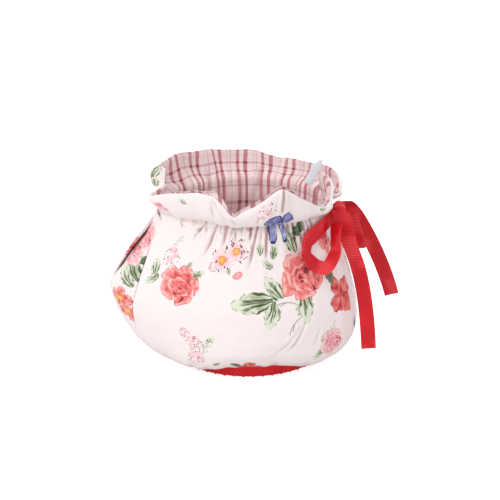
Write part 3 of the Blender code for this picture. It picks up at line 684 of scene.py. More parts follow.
def ruffle_surface(across, part_up, rim, neck_bearing):
    """Outer surface of the ruffle from the drawstring (1) to the rim (2)."""
    rim = np.array(rim)
    rim_points = turned(rim[:, 0], rim[:, 1], rim[:, 2])
    edge_values = np.column_stack([rim_points, rim[:, 3]])
    edge_values = smooth_columns(path_fractions(rim_points), edge_values, across)
    edge, bulge = edge_values[:, :3], edge_values[:, 3:]
    neck = body_surface(neck_bearing, np.ones_like(neck_bearing))
    t = (part_up - 1.0)[:, None]
    middle = neck + (edge - neck) * np.array([RUFFLE_PUFF, RUFFLE_PUFF, RUFFLE_RISE])
    outward = (edge - np.array([AXIS_X, 0.0, 0.0])) * np.array([1.0, 1.0, 0.0])
    outward /= np.linalg.norm(outward, axis=1)[:, None]
    middle = middle + outward * bulge
    points = (1 - t) ** 2 * neck + 2 * t * (1 - t) * middle + t * t * edge
    bearing = np.degrees(np.arctan2(edge[:, 1], edge[:, 0] - AXIS_X))
    depth = np.zeros(len(bearing))
    for fold_bearing, width, fold_depth in RUFFLE_FOLDS:
        depth += fold_depth * np.exp(-((apart(bearing, fold_bearing) / width) ** 2))
    mid_height = 4.0 * t[:, 0] * (1.0 - t[:, 0])
    inward = depth * (mid_height + RUFFLE_FOLD_AT_RIM * t[:, 0])
    return points - outward * inward[:, None]


def lining_follows_panel(part_up):
    """0 where the lining reaches to the spout slit, 1 where it ends with its panel."""
    return between(part_up, *LINING_MEETS_PANEL)


def panel_surface(across, part_up, side, is_lining=False):
    """A point of a panel or its lining; across runs with the bearing, anticlockwise."""
    across = crowd_ends(across)
    body_up = np.minimum(part_up, 1.0)
    margin = LINING_SEAM_MARGIN if is_lining else 0.0
    pinch = 360.0 - PINCH_BEARING if side is FRONT else PINCH_BEARING
    half_gap = np.degrees(SEAM_HALF_GAP / profile_at(body_up)[1])
    slit_edge = 180.0 - slit_half_angle(SPOUT_SLIT, body_up, margin)
    spout_end = seam_bearing(body_up, pinch) - half_gap
    if is_lining:
        spout_end = slit_edge + (spout_end - slit_edge) * lining_follows_panel(body_up)
    handle_end = slit_half_angle(HANDLE_SLIT, body_up, margin)
    start, end = (-spout_end, -handle_end) if side is FRONT else (handle_end, spout_end)
    bearing = start + (end - start) * across
    body = body_surface(bearing, body_up)
    return np.where(part_up[:, None] > 1.0, ruffle_surface(across, part_up, side.rim, bearing), body)


def strip_surface(across, part_up, side):
    """A side strip; across runs with the bearing, from the slit on the front one."""
    from_seam = 1.0 - across if side is FRONT else across
    body_up = part_up * (STRIP_TOP_ROW + STRIP_TOP_RISE * from_seam)
    slit_edge = 180.0 - slit_half_angle(SPOUT_SLIT, body_up, STRIP_MARGIN)
    half_gap = np.degrees(SEAM_HALF_GAP / profile_at(body_up)[1])
    seam = seam_bearing(body_up, NECK_SEAM_BEARING) + half_gap
    start, end = (-slit_edge, -seam) if side is FRONT else (seam, slit_edge)
    return body_surface(start + (end - start) * across, body_up)


# ---------------------------------------------------------------- gathers and creases
def bearings(points, middle):
    """How far round the cosy each point lies from the bearing middle, in degrees."""
    return apart(np.degrees(np.arctan2(points[..., 1], points[..., 0] - AXIS_X)), middle)


def gathers(turn, up, seed, gather, middle, lean=0.0):
    """Creases that run up and down the cloth, deepest at the height middle: 0 flat, 1 deep."""
    spacing, narrow, wide, shallow, deep, *lengths = gather
    draw = np.random.default_rng(seed)
    first, last = turn.min(), turn.max()
    depth = np.zeros(turn.shape)
    for number in range(int((last - first) / spacing)):
        place = first + (number + draw.uniform(0.1, 0.9)) * spacing
        crease_width = draw.uniform(narrow, wide)
        crease_depth = draw.uniform(shallow, deep)
        below, above = (draw.uniform(*pair) for pair in lengths)
        slant = draw.uniform(-SLANT, SLANT) + lean * place
        along = smooth_step(1.0 - np.where(up < middle, (middle - up) / below, (up - middle) / above))
        line = place + slant * np.maximum(middle - up, 0.0)
        widening = crease_width * (1.0 + END_WIDENING * (1.0 - along))
        depth += crease_depth * along * fold_profile((turn - line) / widening)
    return depth


def fold_profile(across):
    """A valley with a low ridge on either side."""
    height, place = RIDGE
    return np.exp(-(across**2)) - height * np.exp(-((np.abs(across) - place) ** 2))


def pressed_creases(turn, up):
    """The single creases of the front panel: 0 flat, 1 deep."""
    depth = np.zeros(turn.shape)
    for top_turn, top, low_turn, low, hold, width, deep in FRONT_CREASES:
        part = (top - up) / (top - low)
        line = top_turn + (low_turn - top_turn) * np.clip(part, -0.3, 1.3) - FRONT.middle
        along = between(part, *PRESSED_ENDS) * (1.0 - between(part, hold, 1.0))
        widening = width * (1.0 + PRESSED_WIDENING * np.clip(part, 0.0, 1.0))
        depth += deep * along * fold_profile((turn - line) / widening)
    return depth


def unevenness(flat, seed, longest, shortest, share):
    """Smooth rises and hollows from waves of many directions, about as high as their share."""
    draw = np.random.default_rng(seed)
    total = np.zeros(flat.shape[:2])
    for _ in range(WAVES):
        turn = draw.uniform(0.0, math.pi)
        length = draw.uniform(shortest, longest)
        phase = draw.uniform(0.0, TAU)
        along = flat[..., 0] * math.cos(turn) + flat[..., 1] * math.sin(turn)
        total += np.sin(along / length * TAU + phase)
    return total / math.sqrt(WAVES) * share


def panel_relief(points, flat, side, depth_scale, puff):
    """How far the padded cloth stands off its smooth form, and how much painted shade it takes in its
    creases, in the neck's groove and towards the hem.
    """
    seed = side.panel_seed
    up = flat[..., 1]
    turn = bearings(points, side.middle)
    strength = np.interp(turn, *zip(*GATHER_STRENGTH)) if side is FRONT else BACK_GATHER_STRENGTH
    depth = gathers(turn, up, seed, NECK_GATHERS, BODY_RUN, NECK_LEAN) * strength
    depth += gathers(turn, up, seed + 5, FINE_GATHERS, BODY_RUN) * strength
    depth += gathers(turn, up, seed + 1, HEM_GATHERS, HEM_GATHERS_AT)
    depth += gathers(turn, up, seed + 4, RUFFLE_GATHERS, BODY_RUN + RUFFLE_GATHERS_AT)
    if side is FRONT:
        depth += pressed_creases(turn, up)
    padding = unevenness(flat, seed + 2, *SWELL) + unevenness(flat, seed + 3, *CRUMPLE)
    groove, reach = NECK_GROOVE
    drawn_in = groove * np.exp(-(((up - BODY_RUN) / reach) ** 2))
    shade, low, high = HEM_SHADE
    # Painted shade: how dark the cloth's colour is made in its creases, in the neck's groove and towards the
    # hem.
    crease = np.clip(depth / FULL_CREASE, 0.0, 1.0) ** CREASE_DARKENS + drawn_in * NECK_SHADE
    crease = crease + shade * (1.0 - between(up, low, high))
    return padding * puff - (np.clip(depth, *CREASE_LIMITS) + drawn_in) * depth_scale, crease


def lining_relief(points, flat, side, depth_scale):
    """How far the lining's folds stand into the hollow, and how much painted shade its creases take."""
    up = flat[..., 1]
    turn = bearings(points, side.middle)
    depth = gathers(turn, up, side.lining_seed, LINING_GATHERS, BODY_RUN)
    start, end = LINING_RAISED
    raised = between(up, BODY_RUN - start, BODY_RUN - end)
    flatter = LINING_FLATTER * between(up, BODY_RUN + LINING_FLATTENS, BODY_RUN + RUFFLE_RUN)
    if side is FRONT:
        flatter = flatter * (1.0 - between(turn, *EAR_TURNS))
    raised = raised * (1.0 - flatter)
    rolls = (LINING_ROLL - np.clip(depth, *LINING_LIMITS)) * raised
    return rolls * depth_scale, np.clip(depth / LINING_FULL_CREASE, 0.0, 1.0)


# ---------------------------------------------------------------- meshes
def grid_normals(points):
    normals = np.cross(np.gradient(points, axis=1), np.gradient(points, axis=0))
    return normals / np.maximum(np.linalg.norm(normals, axis=2), 1e-9)[..., None]


def grid_lines(run, count):
    """Places from 0 to 1 along run mm, with extra lines over the turned edges."""
    edge = np.array(EDGE_STEPS) * ROUNDING / run
    inside = np.linspace(edge[-1], 1.0 - edge[-1], count)
    return np.concatenate([edge[:-1], inside, 1.0 - edge[-2::-1]])


def edge_fullness(flat, width, length, rounding=ROUNDING):
    """1 in the cloth's middle, falling to 0 over the rounding at its four edges."""
    across, up = flat[..., 0] + width / 2.0, flat[..., 1]
    distance = np.minimum.reduce([across, width - across, up, length - up])
    inside = 1.0 - np.clip(distance / rounding, 0.0, 1.0)
    return np.sqrt(np.maximum(0.0, 1.0 - inside**2))[..., None]


def faces_of_shell(rows, columns):
    """Vertex numbers of the outer faces, then of the inner ones, and their places in the grid."""
    place = np.arange(rows * columns).reshape(rows, columns)
    inner = place.copy()
    inner[1:-1, 1:-1] = rows * columns + np.arange((rows - 2) * (columns - 2)).reshape(rows - 2, -1)

    def corners(table):
        quads = np.stack([table[:-1, :-1], table[:-1, 1:], table[1:, 1:], table[1:, :-1]], axis=-1)
        return quads.reshape(-1, 4)

    outside = corners(place)
    return np.vstack([outside, corners(inner)[:, ::-1]]), np.vstack([outside, outside[:, ::-1]])


def mesh_from_faces(name, points, faces):
    """A smooth-shaded mesh from points in mm and quads."""
    mesh = bpy.data.meshes.new(name)
    mesh.vertices.add(len(points))
    mesh.vertices.foreach_set("co", (points * MM).astype(np.float32).ravel())
    mesh.loops.add(faces.size)
    mesh.loops.foreach_set("vertex_index", faces.astype(np.int32).ravel())
    mesh.polygons.add(len(faces))
    mesh.polygons.foreach_set("loop_start", np.arange(0, faces.size, 4, dtype=np.int32))
    mesh.update(calc_edges=True)
    mesh.validate()
    mesh.shade_smooth()
    return mesh


def add_object(name, data):
    obj = bpy.data.objects.new(name, data)
    bpy.context.scene.collection.objects.link(obj)
    return obj


def add_uv(mesh, name, values):
    layer = mesh.uv_layers.new(name=name)
    layer.data.foreach_set("uv", values.astype(np.float32).ravel())


def shell_object(name, outer, inner, flat, crease, material):
    """One closed sheet of cloth whose outer and inner grids share their border."""
    rows, columns = outer.shape[:2]
    faces, places = faces_of_shell(rows, columns)
    points = np.vstack([outer.reshape(-1, 3), inner[1:-1, 1:-1].reshape(-1, 3)])
    mesh = mesh_from_faces(name, points, faces)
    add_uv(mesh, "Cloth", flat.reshape(-1, 2)[places.ravel()])
    values = np.concatenate([crease.ravel(), crease[1:-1, 1:-1].ravel()])
    # The crease attribute carries the painted shade of the creases, the neck's groove and the hem.
    layer = mesh.attributes.new("crease", "FLOAT", "POINT")
    layer.data.foreach_set("value", values.astype(np.float32))
    mesh.materials.append(bpy.data.materials[material])
    return add_object(name, mesh)


def motif_rows(print_rows):
    """Every motif of a print: kind, variation, place across and up, half size, turn."""
    for row in print_rows:
        if isinstance(row[0], str):
            yield row
            continue
        spray, across, up, turn = row
        angle = math.radians(turn)
        for kind, variation, x, y, half, own_turn in spray:
            place_x = across + x * math.cos(angle) - y * math.sin(angle)
            place_y = up + x * math.sin(angle) + y * math.cos(angle)
            yield kind, variation, place_x, place_y, half, own_turn + turn


def add_print(mesh, name, kinds, print_rows, slim=1.0):
    """Lay the faces near each motif over that motif's cell; the other faces stay blank."""
    faces = len(mesh.polygons)
    flat = np.zeros(faces * 8, np.float32)
    mesh.uv_layers["Cloth"].data.foreach_get("uv", flat)
    flat = flat.reshape(faces, 4, 2).astype(float)
    cells = np.zeros((faces, 4, 2)) + np.array(BLANK_CELL)
    nearest = np.full(faces, CELL_REACH)
    for kind, variation, x, y, half, turn in motif_rows(print_rows):
        if kind not in kinds:
            continue
        angle = math.radians(turn)
        dx, dy = flat[..., 0] - x, flat[..., 1] - y
        local_x = (dx * math.cos(angle) + dy * math.sin(angle)) / half
        local_y = (dy * math.cos(angle) - dx * math.sin(angle)) / (half * slim)
        distance = np.sqrt(local_x**2 + local_y**2).max(axis=1)
        taken = distance < nearest
        nearest = np.where(taken, distance, nearest)
        cell_x = kinds.index(kind) + 0.5 + CELL_HALF * local_x
        cell_y = variation + 0.5 + CELL_HALF * local_y
        cells[taken] = np.stack([cell_x, cell_y], axis=-1)[taken]
    add_uv(mesh, name, cells.reshape(-1, 2))


def finish_piece(obj, slot, *nodes):
    """Let a piece stand for its nodes and hang it under the root; its slot is not used."""
    if nodes:
        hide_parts(*nodes)
    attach(obj, "root")


def cloth_grid(surface, columns, rows, top, length_above):
    """Points, normals and flat places of a panel's or a lining's surface."""
    across = grid_lines(PANEL_WIDTH, columns)
    run = BODY_RUN + length_above
    places = grid_lines(run, rows) * run
    low, high, count = NECK_ROWS
    away = (places < low * BODY_RUN) | (places > high * BODY_RUN)
    places = np.sort(np.concatenate([places[away], np.linspace(low, high, count) * BODY_RUN]))
    part_up = np.where(places < BODY_RUN, places / BODY_RUN, 1.0 + (places - BODY_RUN) / RUFFLE_RUN)
    part_up = np.minimum(part_up, top)
    columns_at, rows_at = np.meshgrid(across, part_up)
    points = surface(columns_at.ravel(), rows_at.ravel()).reshape(*columns_at.shape, 3)
    flat_across = (crowd_ends(columns_at) - 0.5) * PANEL_WIDTH
    flat = np.stack([flat_across, np.repeat(places[:, None], len(across), axis=1)], axis=-1)
    return points, grid_normals(points), flat


def laid_round(points, flat, middle, mm_per_degree):
    """Places of the print or the plaid: round the cosy from the bearing middle, and up it."""
    places = flat.copy()
    places[..., 0] = bearings(points, middle) * mm_per_degree
    return places


def cloth_piece(name, outer, inner, threads, crease, material, slot, print_rows=()):
    """A cut piece of cloth: its closed sheet, its print and the node that it stands for."""
    obj = shell_object(name + "_cloth", outer, inner, threads, crease, material)
    if print_rows:
        add_print(obj.data, "Bloom", BLOOM_KINDS, print_rows)
        add_print(obj.data, "Leaf", LEAF_KINDS, print_rows, LEAF_SLIM)
    finish_piece(obj, slot, name)


def build_panel(settings, side):
    """A padded floral panel with its ruffle."""

    def surface(across, part_up):
        return panel_surface(across, part_up, side)

    points, normals, flat = cloth_grid(surface, *side.panel_grid, 2.0, RUFFLE_RUN)
    relief, crease = panel_relief(points, flat, side, settings.gather_depth, settings.puff / MM)
    full = edge_fullness(flat, PANEL_WIDTH, BODY_RUN + RUFFLE_RUN)
    relief = relief[..., None] * (EDGE_RELIEF + (1.0 - EDGE_RELIEF) * full)
    half = settings.panel_thickness / MM / 2.0
    middle = points - normals * half
    outer = middle + normals * (half * full + relief)
    inner = middle - normals * half * full + normals * relief * (1.0 - full)
    threads = laid_round(points, flat, side.middle, PANEL_MM_PER_DEGREE)
    cloth_piece(
        side.name + "_panel", outer, inner, threads, crease, "printed_cloth", "floral_cotton",
        side.panel_print,
    )


def build_strip(settings, side):
    """A narrow side strip between a panel's seam and the spout slit."""
    columns, rows = STRIP_GRID
    columns_at, rows_at = np.meshgrid(grid_lines(STRIP_WIDTH, columns), grid_lines(BODY_RUN, rows))
    points = strip_surface(columns_at.ravel(), rows_at.ravel(), side).reshape(*columns_at.shape, 3)
    normals = grid_normals(points)
    flat = np.stack([(columns_at - 0.5) * STRIP_WIDTH, rows_at * BODY_RUN], axis=-1)
    full = edge_fullness(flat, STRIP_WIDTH, BODY_RUN)
    depth = gathers(bearings(points, side.middle), flat[..., 1], side.strip_seed, STRIP_GATHERS, BODY_RUN)
    relief = unevenness(flat, side.strip_seed + 1, *STRIP_SWELL) * settings.puff / MM
    relief = (relief - depth * settings.gather_depth * STRIP_GATHER_PART)[..., None] * full
    half = settings.panel_thickness / MM / 2.0
    middle = points - normals * half
    outer = middle + normals * (half * full + relief)
    inner = middle - normals * half * full
    threads = laid_round(points, flat, side.strip_middle, STRIP_MM_PER_DEGREE)
    # Painted shade in the strip's creases.
    crease = np.clip(depth / FULL_CREASE, 0.0, 1.0)
    cloth_piece(
        "side_strip_" + side.name, outer, inner, threads, crease, "printed_cloth", "floral_cotton",
        side.strip_print,
    )


def build_lining(settings, side):
    """The plaid lining of a panel, whose edge stands a little above the panel's rim."""

    def surface(across, part_up):
        place = (crowd_ends(across) - 0.5) * PANEL_WIDTH
        raised = np.interp(place, *zip(*WIDE_LIP)) / RUFFLE_RUN if side is FRONT else 0.0
        ruffle_up = np.maximum(part_up - 1.0, 0.0)
        return panel_surface(across, part_up + ruffle_up * raised, side, is_lining=True)

    above = RUFFLE_RUN + LINING_LIP
    points, normals, flat = cloth_grid(surface, *LINING_GRID, 2.0 + LINING_LIP / RUFFLE_RUN, above)
    up = flat[..., 1]
    relief, crease = lining_relief(points, flat, side, settings.gather_depth)
    full = edge_fullness(flat, PANEL_WIDTH, BODY_RUN + above)
    half = settings.lining_thickness / MM / 2.0
    slack = LINING_SLACK * smooth_step((1.0 - up / BODY_RUN) / LINING_SLACK_FADES)
    past_rim = between(up, BODY_RUN + RUFFLE_RUN - LIP_TURNS, BODY_RUN + above)
    inset = settings.panel_thickness / MM + PIECE_GAP + slack + half - LIP_ROLL * past_rim
    middle = points - normals * inset[..., None]
    stand = np.maximum(relief, LINING_LEAST)[..., None] * full
    outer = middle + normals * half * full
    inner = middle - normals * (half * full + stand)
    threads = laid_round(points, flat, side.middle, PANEL_MM_PER_DEGREE)
    cloth_piece(
        side.name + "_lining", outer, inner, threads, crease, "plaid_cloth", "plaid_cotton"
    )


# ---------------------------------------------------------------- ribbon, knot and label
def across_ways(route):
    """Unit directions across a ribbon, turned so that they follow one another."""
    tilt = np.radians(route[:, 3:5])
    level = np.cos(tilt[:, 1])
    ways = np.stack([np.cos(tilt[:, 0]) * level, np.sin(tilt[:, 0]) * level, np.sin(tilt[:, 1])], axis=-1)
    for index in range(1, len(ways)):
        if ways[index] @ ways[index - 1] < 0.0:
            ways[index] *= -1.0
    return ways


def tape_object(name, route, width, thickness, pitch, rib, curl, material, taper):
    """A tape along a route, with fine ribs across it and a slight curl, and its length."""
    route = np.array(route, float)
    values = np.hstack([route[:, :3] + np.array([AXIS_X, 0.0, 0.0]), across_ways(route)])
    places = path_fractions(route[:, :3])
    length = float(np.linalg.norm(np.diff(route[:, :3], axis=0), axis=1).sum())
    columns, fewest = TAPE_GRID
    along = grid_lines(length, max(fewest, int(length / pitch * RIB_STEPS)))
    across = grid_lines(width, columns)
    read = smooth_columns(places, values, along)
    side = read[:, 3:] / np.linalg.norm(read[:, 3:], axis=1)[:, None]
    off = (across - 0.5) * width
    narrowed = smooth_columns(*zip(*[(place, (part,)) for place, part in taper]), along)
    middle = read[:, None, :3] + side[:, None, :] * off[None, :, None] * narrowed[:, None]
    normals = grid_normals(middle)
    flat = np.stack(np.broadcast_arrays(off[None, :], (along * length)[:, None]), axis=-1)
    full = edge_fullness(flat, width, length, thickness / 2.0)
    middle = middle + normals * curl * ((flat[..., 0] / width * 2.0) ** 2)[..., None]
    ribs = rib * np.sin(flat[..., 1] / pitch * TAU)[..., None] * full
    stand = normals * (thickness / 2.0 * full + ribs)
    outer, inner = middle + stand, middle - stand
    return shell_object(name + "_tape", outer, inner, flat, np.zeros(flat.shape[:2]), material), length


def build_ribbons(settings):
    """The bow's loops and tails, and the end that comes out of the neck."""
    width, thickness, pitch = settings.width / MM, settings.thickness / MM, settings.rib_pitch / MM
    for name, route, flat_length in RIBBONS:
        spread = FRONT_TAIL_SPREAD if route is FRONT_TAIL else EVEN_WIDTH
        obj, _ = tape_object(
            name, route, width, thickness, pitch, RIB_HEIGHT, RIBBON_CURL, "grosgrain", spread
        )
        finish_piece(obj, "red_ribbon", name)


def build_knot():
    """The knot: ribbon wrapped round itself, with soft folds that run round it."""
    bm = bmesh.new()
    turns, rings = KNOT_GRID
    bmesh.ops.create_uvsphere(bm, u_segments=turns, v_segments=rings, radius=0.5)
    bmesh.ops.rotate(bm, verts=bm.verts[:], matrix=ROLL_TO_Y)
    many, sway = KNOT_FOLDS
    for vert in bm.verts:
        along = vert.co.y * 2.0
        angle = math.atan2(vert.co.z, vert.co.x)
        off_tip = 1.0 - along**2
        folds = 1.0 + KNOT_FOLD * math.sin(along * many + sway * math.sin(angle)) * off_tip
        ribs = 1.0 + KNOT_RIB * math.sin(angle * KNOT_RIBS) * off_tip
        square = (1.0 - abs(along) ** 4) ** 0.5 / max(1e-3, math.sqrt(max(1e-6, off_tip)))
        grow = folds * ribs * min(square, KNOT_SQUARE) * KNOT_WAIST
        vert.co.x = vert.co.x * KNOT_SIZE[0] * MM * grow + (KNOT_CENTRE[0] + AXIS_X) * MM
        vert.co.z = vert.co.z * KNOT_SIZE[2] * MM * grow + KNOT_CENTRE[2] * MM
        vert.co.y = vert.co.y * KNOT_SIZE[1] * KNOT_SPREAD * MM + KNOT_CENTRE[1] * MM
    mesh = bpy.data.meshes.new("ribbon_knot_tape")
    bm.to_mesh(mesh)
    bm.free()
    mesh.shade_smooth()
    mesh.materials.append(bpy.data.materials["grosgrain"])
    finish_piece(add_object("ribbon_knot_tape", mesh), "red_ribbon", "ribbon_knot")


def build_label():
    """A blank satin label, sewn into the lining behind the bow."""
    width, thickness = LABEL_SIZE
    obj, length = tape_object(
        "care_label", LABEL_ROUTE, width, thickness, LABEL_PITCH, 0.0, LABEL_CURL, "label_satin", LABEL_TAPER
    )
    finish_piece(obj, "label_tape", "care_label")


# ---------------------------------------------------------------- node formulas
def on_numbers(operation):
    return lambda self, *others: self.net.math(operation, self, *others)


class Number:
    """A number in a node tree, which can be added, multiplied and compared like any other."""

    def __init__(self, net, socket):
        self.net = net
        self.socket = socket

    def __rsub__(self, other):
        return self.net.math("SUBTRACT", other, self)

    __add__ = __radd__ = on_numbers("ADD")
    __sub__ = on_numbers("SUBTRACT")
    __mul__ = __rmul__ = on_numbers("MULTIPLY")
    __truediv__ = on_numbers("DIVIDE")
    __pow__ = on_numbers("POWER")
    __abs__ = on_numbers("ABSOLUTE")
    at_most = on_numbers("MINIMUM")
    at_least = on_numbers("MAXIMUM")
    below = on_numbers("LESS_THAN")


class Net:
    """A node tree that is filled by formulas."""

    def __init__(self, tree):
        self.tree = tree

    def node(self, kind, inputs=None, **settings):
        node = self.tree.nodes.new(kind)
        for key, value in settings.items():
            setattr(node, key, value)
        for key, value in (inputs or {}).items():
            self.feed(node.inputs[key], value)
        return node

    def feed(self, socket, value):
        if isinstance(value, Number):
            self.tree.links.new(value.socket, socket)
        elif isinstance(value, bpy.types.NodeSocket):
            self.tree.links.new(value, socket)
        else:
            socket.default_value = value

    def math(self, operation, *values):
        node = self.node("ShaderNodeMath", operation=operation)
        for socket, value in zip(node.inputs, values):
            self.feed(socket, value)
        return Number(self, node.outputs[0])

    def vector(self, x, y, z=0.0):
        return self.node("ShaderNodeCombineXYZ", {"X": x, "Y": y, "Z": z}).outputs[0]

    def split(self, vector):
        node = self.node("ShaderNodeSeparateXYZ", {"Vector": vector})
        return [Number(self, socket) for socket in node.outputs]

    def rise(self, value, low, high):
        """0 below low, 1 above high and smooth between."""
        node = self.node("ShaderNodeMapRange", interpolation_type="SMOOTHSTEP")
        for key, number in (("Value", value), ("From Min", low), ("From Max", high)):
            self.feed(node.inputs[key], number)
        return Number(self, node.outputs[0])

    def blend(self, factor, first, second):
        """Numbers: first where factor is 0, second where it is 1."""
        return self.node("ShaderNodeMix", {0: factor, 2: first, 3: second}, data_type="FLOAT").outputs[0]

    def paint(self, factor, below, above, blend="MIX"):
        """Colours: below where factor is 0, above where it is 1."""
        node = self.node("ShaderNodeMix", {0: factor}, data_type="RGBA", blend_type=blend)
        for index, value in ((6, below), (7, above)):
            self.feed(node.inputs[index], (*value, 1.0) if isinstance(value, tuple) else value)
        return node.outputs[2]

    def tinted(self, factor, colour, tint):
        """A colour multiplied by a tint, as far as the factor says."""
        return self.paint(factor, colour, tint, "MULTIPLY")

    def tones(self, value, colours):
        """A colour from a list of evenly spaced tones."""
        node = self.node("ShaderNodeValToRGB")
        ramp = node.color_ramp
        while len(ramp.elements) < len(colours):
            ramp.elements.new(0.5)
        for index, (element, colour) in enumerate(zip(ramp.elements, colours)):
            element.position = index / (len(colours) - 1)
            element.color = (*colour, 1.0)
        self.feed(node.inputs[0], value)
        return node.outputs[0]

    def noise(self, vector, scale, detail=1.0):
        node = self.node("ShaderNodeTexNoise", {"Vector": vector, "Scale": scale, "Detail": detail})
        return Number(self, node.outputs["Fac"])

    def patches(self, x, y, z=0.0, detail=1.0):
        """Uneven patches, about one to each whole number of x, y and z."""
        return self.noise(self.vector(x, y, z), 1.0, detail)

    def nearest_dot(self, x, y, z):
        """How far the nearest of many scattered dots is."""
        node = self.node("ShaderNodeTexVoronoi", {"Vector": self.vector(x, y, z), "Scale": 1.0})
        return Number(self, node.outputs["Distance"])

    def map_place(self, name):
        return self.node("ShaderNodeUVMap", uv_map=name).outputs["UV"]

    def object_place(self):
        return self.node("ShaderNodeTexCoord").outputs["Object"]

    def group(self, name, **values):
        node = self.node("ShaderNodeGroup", node_tree=bpy.data.node_groups[name])
        for key, value in values.items():
            self.feed(node.inputs[key.replace("_", " ")], value)
        return node.outputs


KINDS = {
    "whole": "NodeSocketInt", "number": "NodeSocketFloat", "colour": "NodeSocketColor",
    "place": "NodeSocketVector", "mesh": "NodeSocketGeometry", "material": "NodeSocketMaterial",
}
NUMBERS = ("whole", "number")
MOTIF_INPUTS = {"Across": "number", "Up": "number", "Variation": "number"}
MOTIF_OUTPUTS = {"Colour": "colour", "Mask": "number"}


def node_group(name, inputs, outputs, tree_type="ShaderNodeTree"):
    """A new group: its net, its input sockets by name and the sockets that its results feed."""
    tree = bpy.data.node_groups.new(name, tree_type)
    for in_out, table in (("INPUT", inputs), ("OUTPUT", outputs)):
        for label, kind in table.items():
            tree.interface.new_socket(name=label, in_out=in_out, socket_type=KINDS[kind])
    net = Net(tree)
    source = net.node("NodeGroupInput").outputs
    target = net.node("NodeGroupOutput").inputs
    sockets = {
        label: Number(net, source[label]) if kind in NUMBERS else source[label]
        for label, kind in inputs.items()
    }
    return net, sockets, target


def hand_drawn(net, x, y, seed, scale, amount):
    """Shift a place a little, so that drawn outlines are uneven."""
    place = net.vector(x * scale, y * scale, seed * 3.7)
    node = net.node("ShaderNodeTexNoise", {"Vector": place, "Scale": 1.0})
    shift_x, shift_y, _ = net.split(node.outputs["Color"])
    return x + (shift_x - 0.5) * (2.0 * amount), y + (shift_y - 0.5) * (2.0 * amount)


def polar(net, x, y):
    far = net.math("SQRT", x * x + y * y)
    return far, net.math("ARCTAN2", y, x)


def is_pale(seed):
    """1 for a motif of the upper rows, else 0."""
    return 1.0 - seed.below(PALE_ROW - 0.5)


def petal_edge(net, angle, petals, phase, radius, cut):
    """Reach of a ring of petals, with a notch of the given depth between them."""
    lobe = abs(net.math("COSINE", angle * (petals / 2.0) + phase))
    return (lobe**0.6) * (radius * cut) + radius * (1.0 - cut), lobe


# Rings of a rose's petals: reach, petals, phase, centre, depth of the notches
ROSE_RINGS = (
    (0.92, 5, 0.3, 0.0, 0.0, 0.26),
    (0.76, 4, 1.6, 0.07, 0.10, 0.24),
    (0.60, 5, 2.7, 0.10, -0.16, 0.22),
    (0.44, 4, 0.5, 0.20, -0.22, 0.22),
    (0.27, 3, 1.8, 0.24, -0.26, 0.25),
)


def draw_rose(net, x, y, seed):
    """A full-blown rose: rings of petals, each shaded by the ring inside it."""
    x, y = hand_drawn(net, x, y, seed, 1.2, 0.30)
    x, y = hand_drawn(net, x, y, seed + 7.0, 4.0, 0.07)
    streaks = net.patches(x * 5.0, y * 5.0, seed, 2.0)
    patches = net.patches(x * 2.2, y * 2.2, seed + 4.0)
    tone = streaks * 0.4
    mask = None
    for number, (radius, petals, phase, centre_x, centre_y, cut) in enumerate(ROSE_RINGS):
        far, angle = polar(net, x - centre_x, y - centre_y)
        edge, lobe = petal_edge(net, angle, petals, seed * 0.9 + phase, radius, cut)
        inside = net.rise(edge - far, 0.0, 0.035)
        inner = 0.60 if number < len(ROSE_RINGS) - 1 else 0.0
        shade = net.rise(far / edge, inner, 0.92)
        line = (1.0 - net.rise(edge - far, 0.015, 0.070)) * net.rise(patches, 0.36, 0.50)
        glow = (1.0 - net.rise(abs(edge - far - 0.12), 0.02, 0.07)) * net.rise(streaks, 0.44, 0.58)
        ring = shade * 0.34 + (streaks - 0.5) * 1.1 + (patches - 0.5) * 0.9 + lobe * 0.12
        ring = ring + glow * 0.22 - line * 0.55
        ring = ring + (0.42 - number * 0.045)
        tone = Number(net, net.blend(inside, tone, ring))
        mask = mask or inside
    far, angle = polar(net, x - 0.24, y + 0.26)
    strokes = net.patches(angle * 2.6, far * 2.0, seed + 2.0)
    dark = net.rise(strokes, 0.52, 0.62) * (1.0 - net.rise(abs(far - 0.24), 0.06, 0.20))
    tone = tone - dark * 0.55
    return net.paint(is_pale(seed), net.tones(tone, CORAL), net.tones(tone, PINK)), mask


def specks(net, x, y, seed, scale, size):
    """Short dark dabs scattered over a motif."""
    near = net.nearest_dot(x * scale, y * (scale * 0.62), seed * 2.0)
    return 1.0 - net.rise(near, size * 0.8, size)


def draw_daisy(net, x, y, seed):
    """A small open flower with a yellow middle and dark stamens round it."""
    x, y = hand_drawn(net, x, y, seed, 2.2, 0.20)
    far, angle = polar(net, x, y)
    edge, lobe = petal_edge(net, angle, 6.0, seed, 0.92, 0.42)
    petals = net.rise(edge - far, 0.0, 0.07)
    wash = net.patches(x * 3.0, y * 3.0, seed)
    colour = net.tones(net.rise(far, 0.1, 0.8) * 0.35 + lobe * 0.15 + wash * 0.7, BLUSH)
    grain = net.patches(x * 7.0, y * 7.0, seed + 3.0)
    heart = net.rise(0.36 - far + (grain - 0.5) * 0.5, 0.0, 0.10)
    colour = net.paint(heart, colour, AMBER)
    colour = net.paint(net.rise(0.25 - far + (grain - 0.5) * 0.6, 0.0, 0.10), colour, YELLOW)
    dabs = specks(net, x, y, seed, 4.2, 0.30) * net.rise(far, 0.22, 0.36) * net.rise(1.0 - far, 0.0, 0.05)
    return net.paint(dabs * 0.9, colour, PLUM), petals.at_least(dabs)


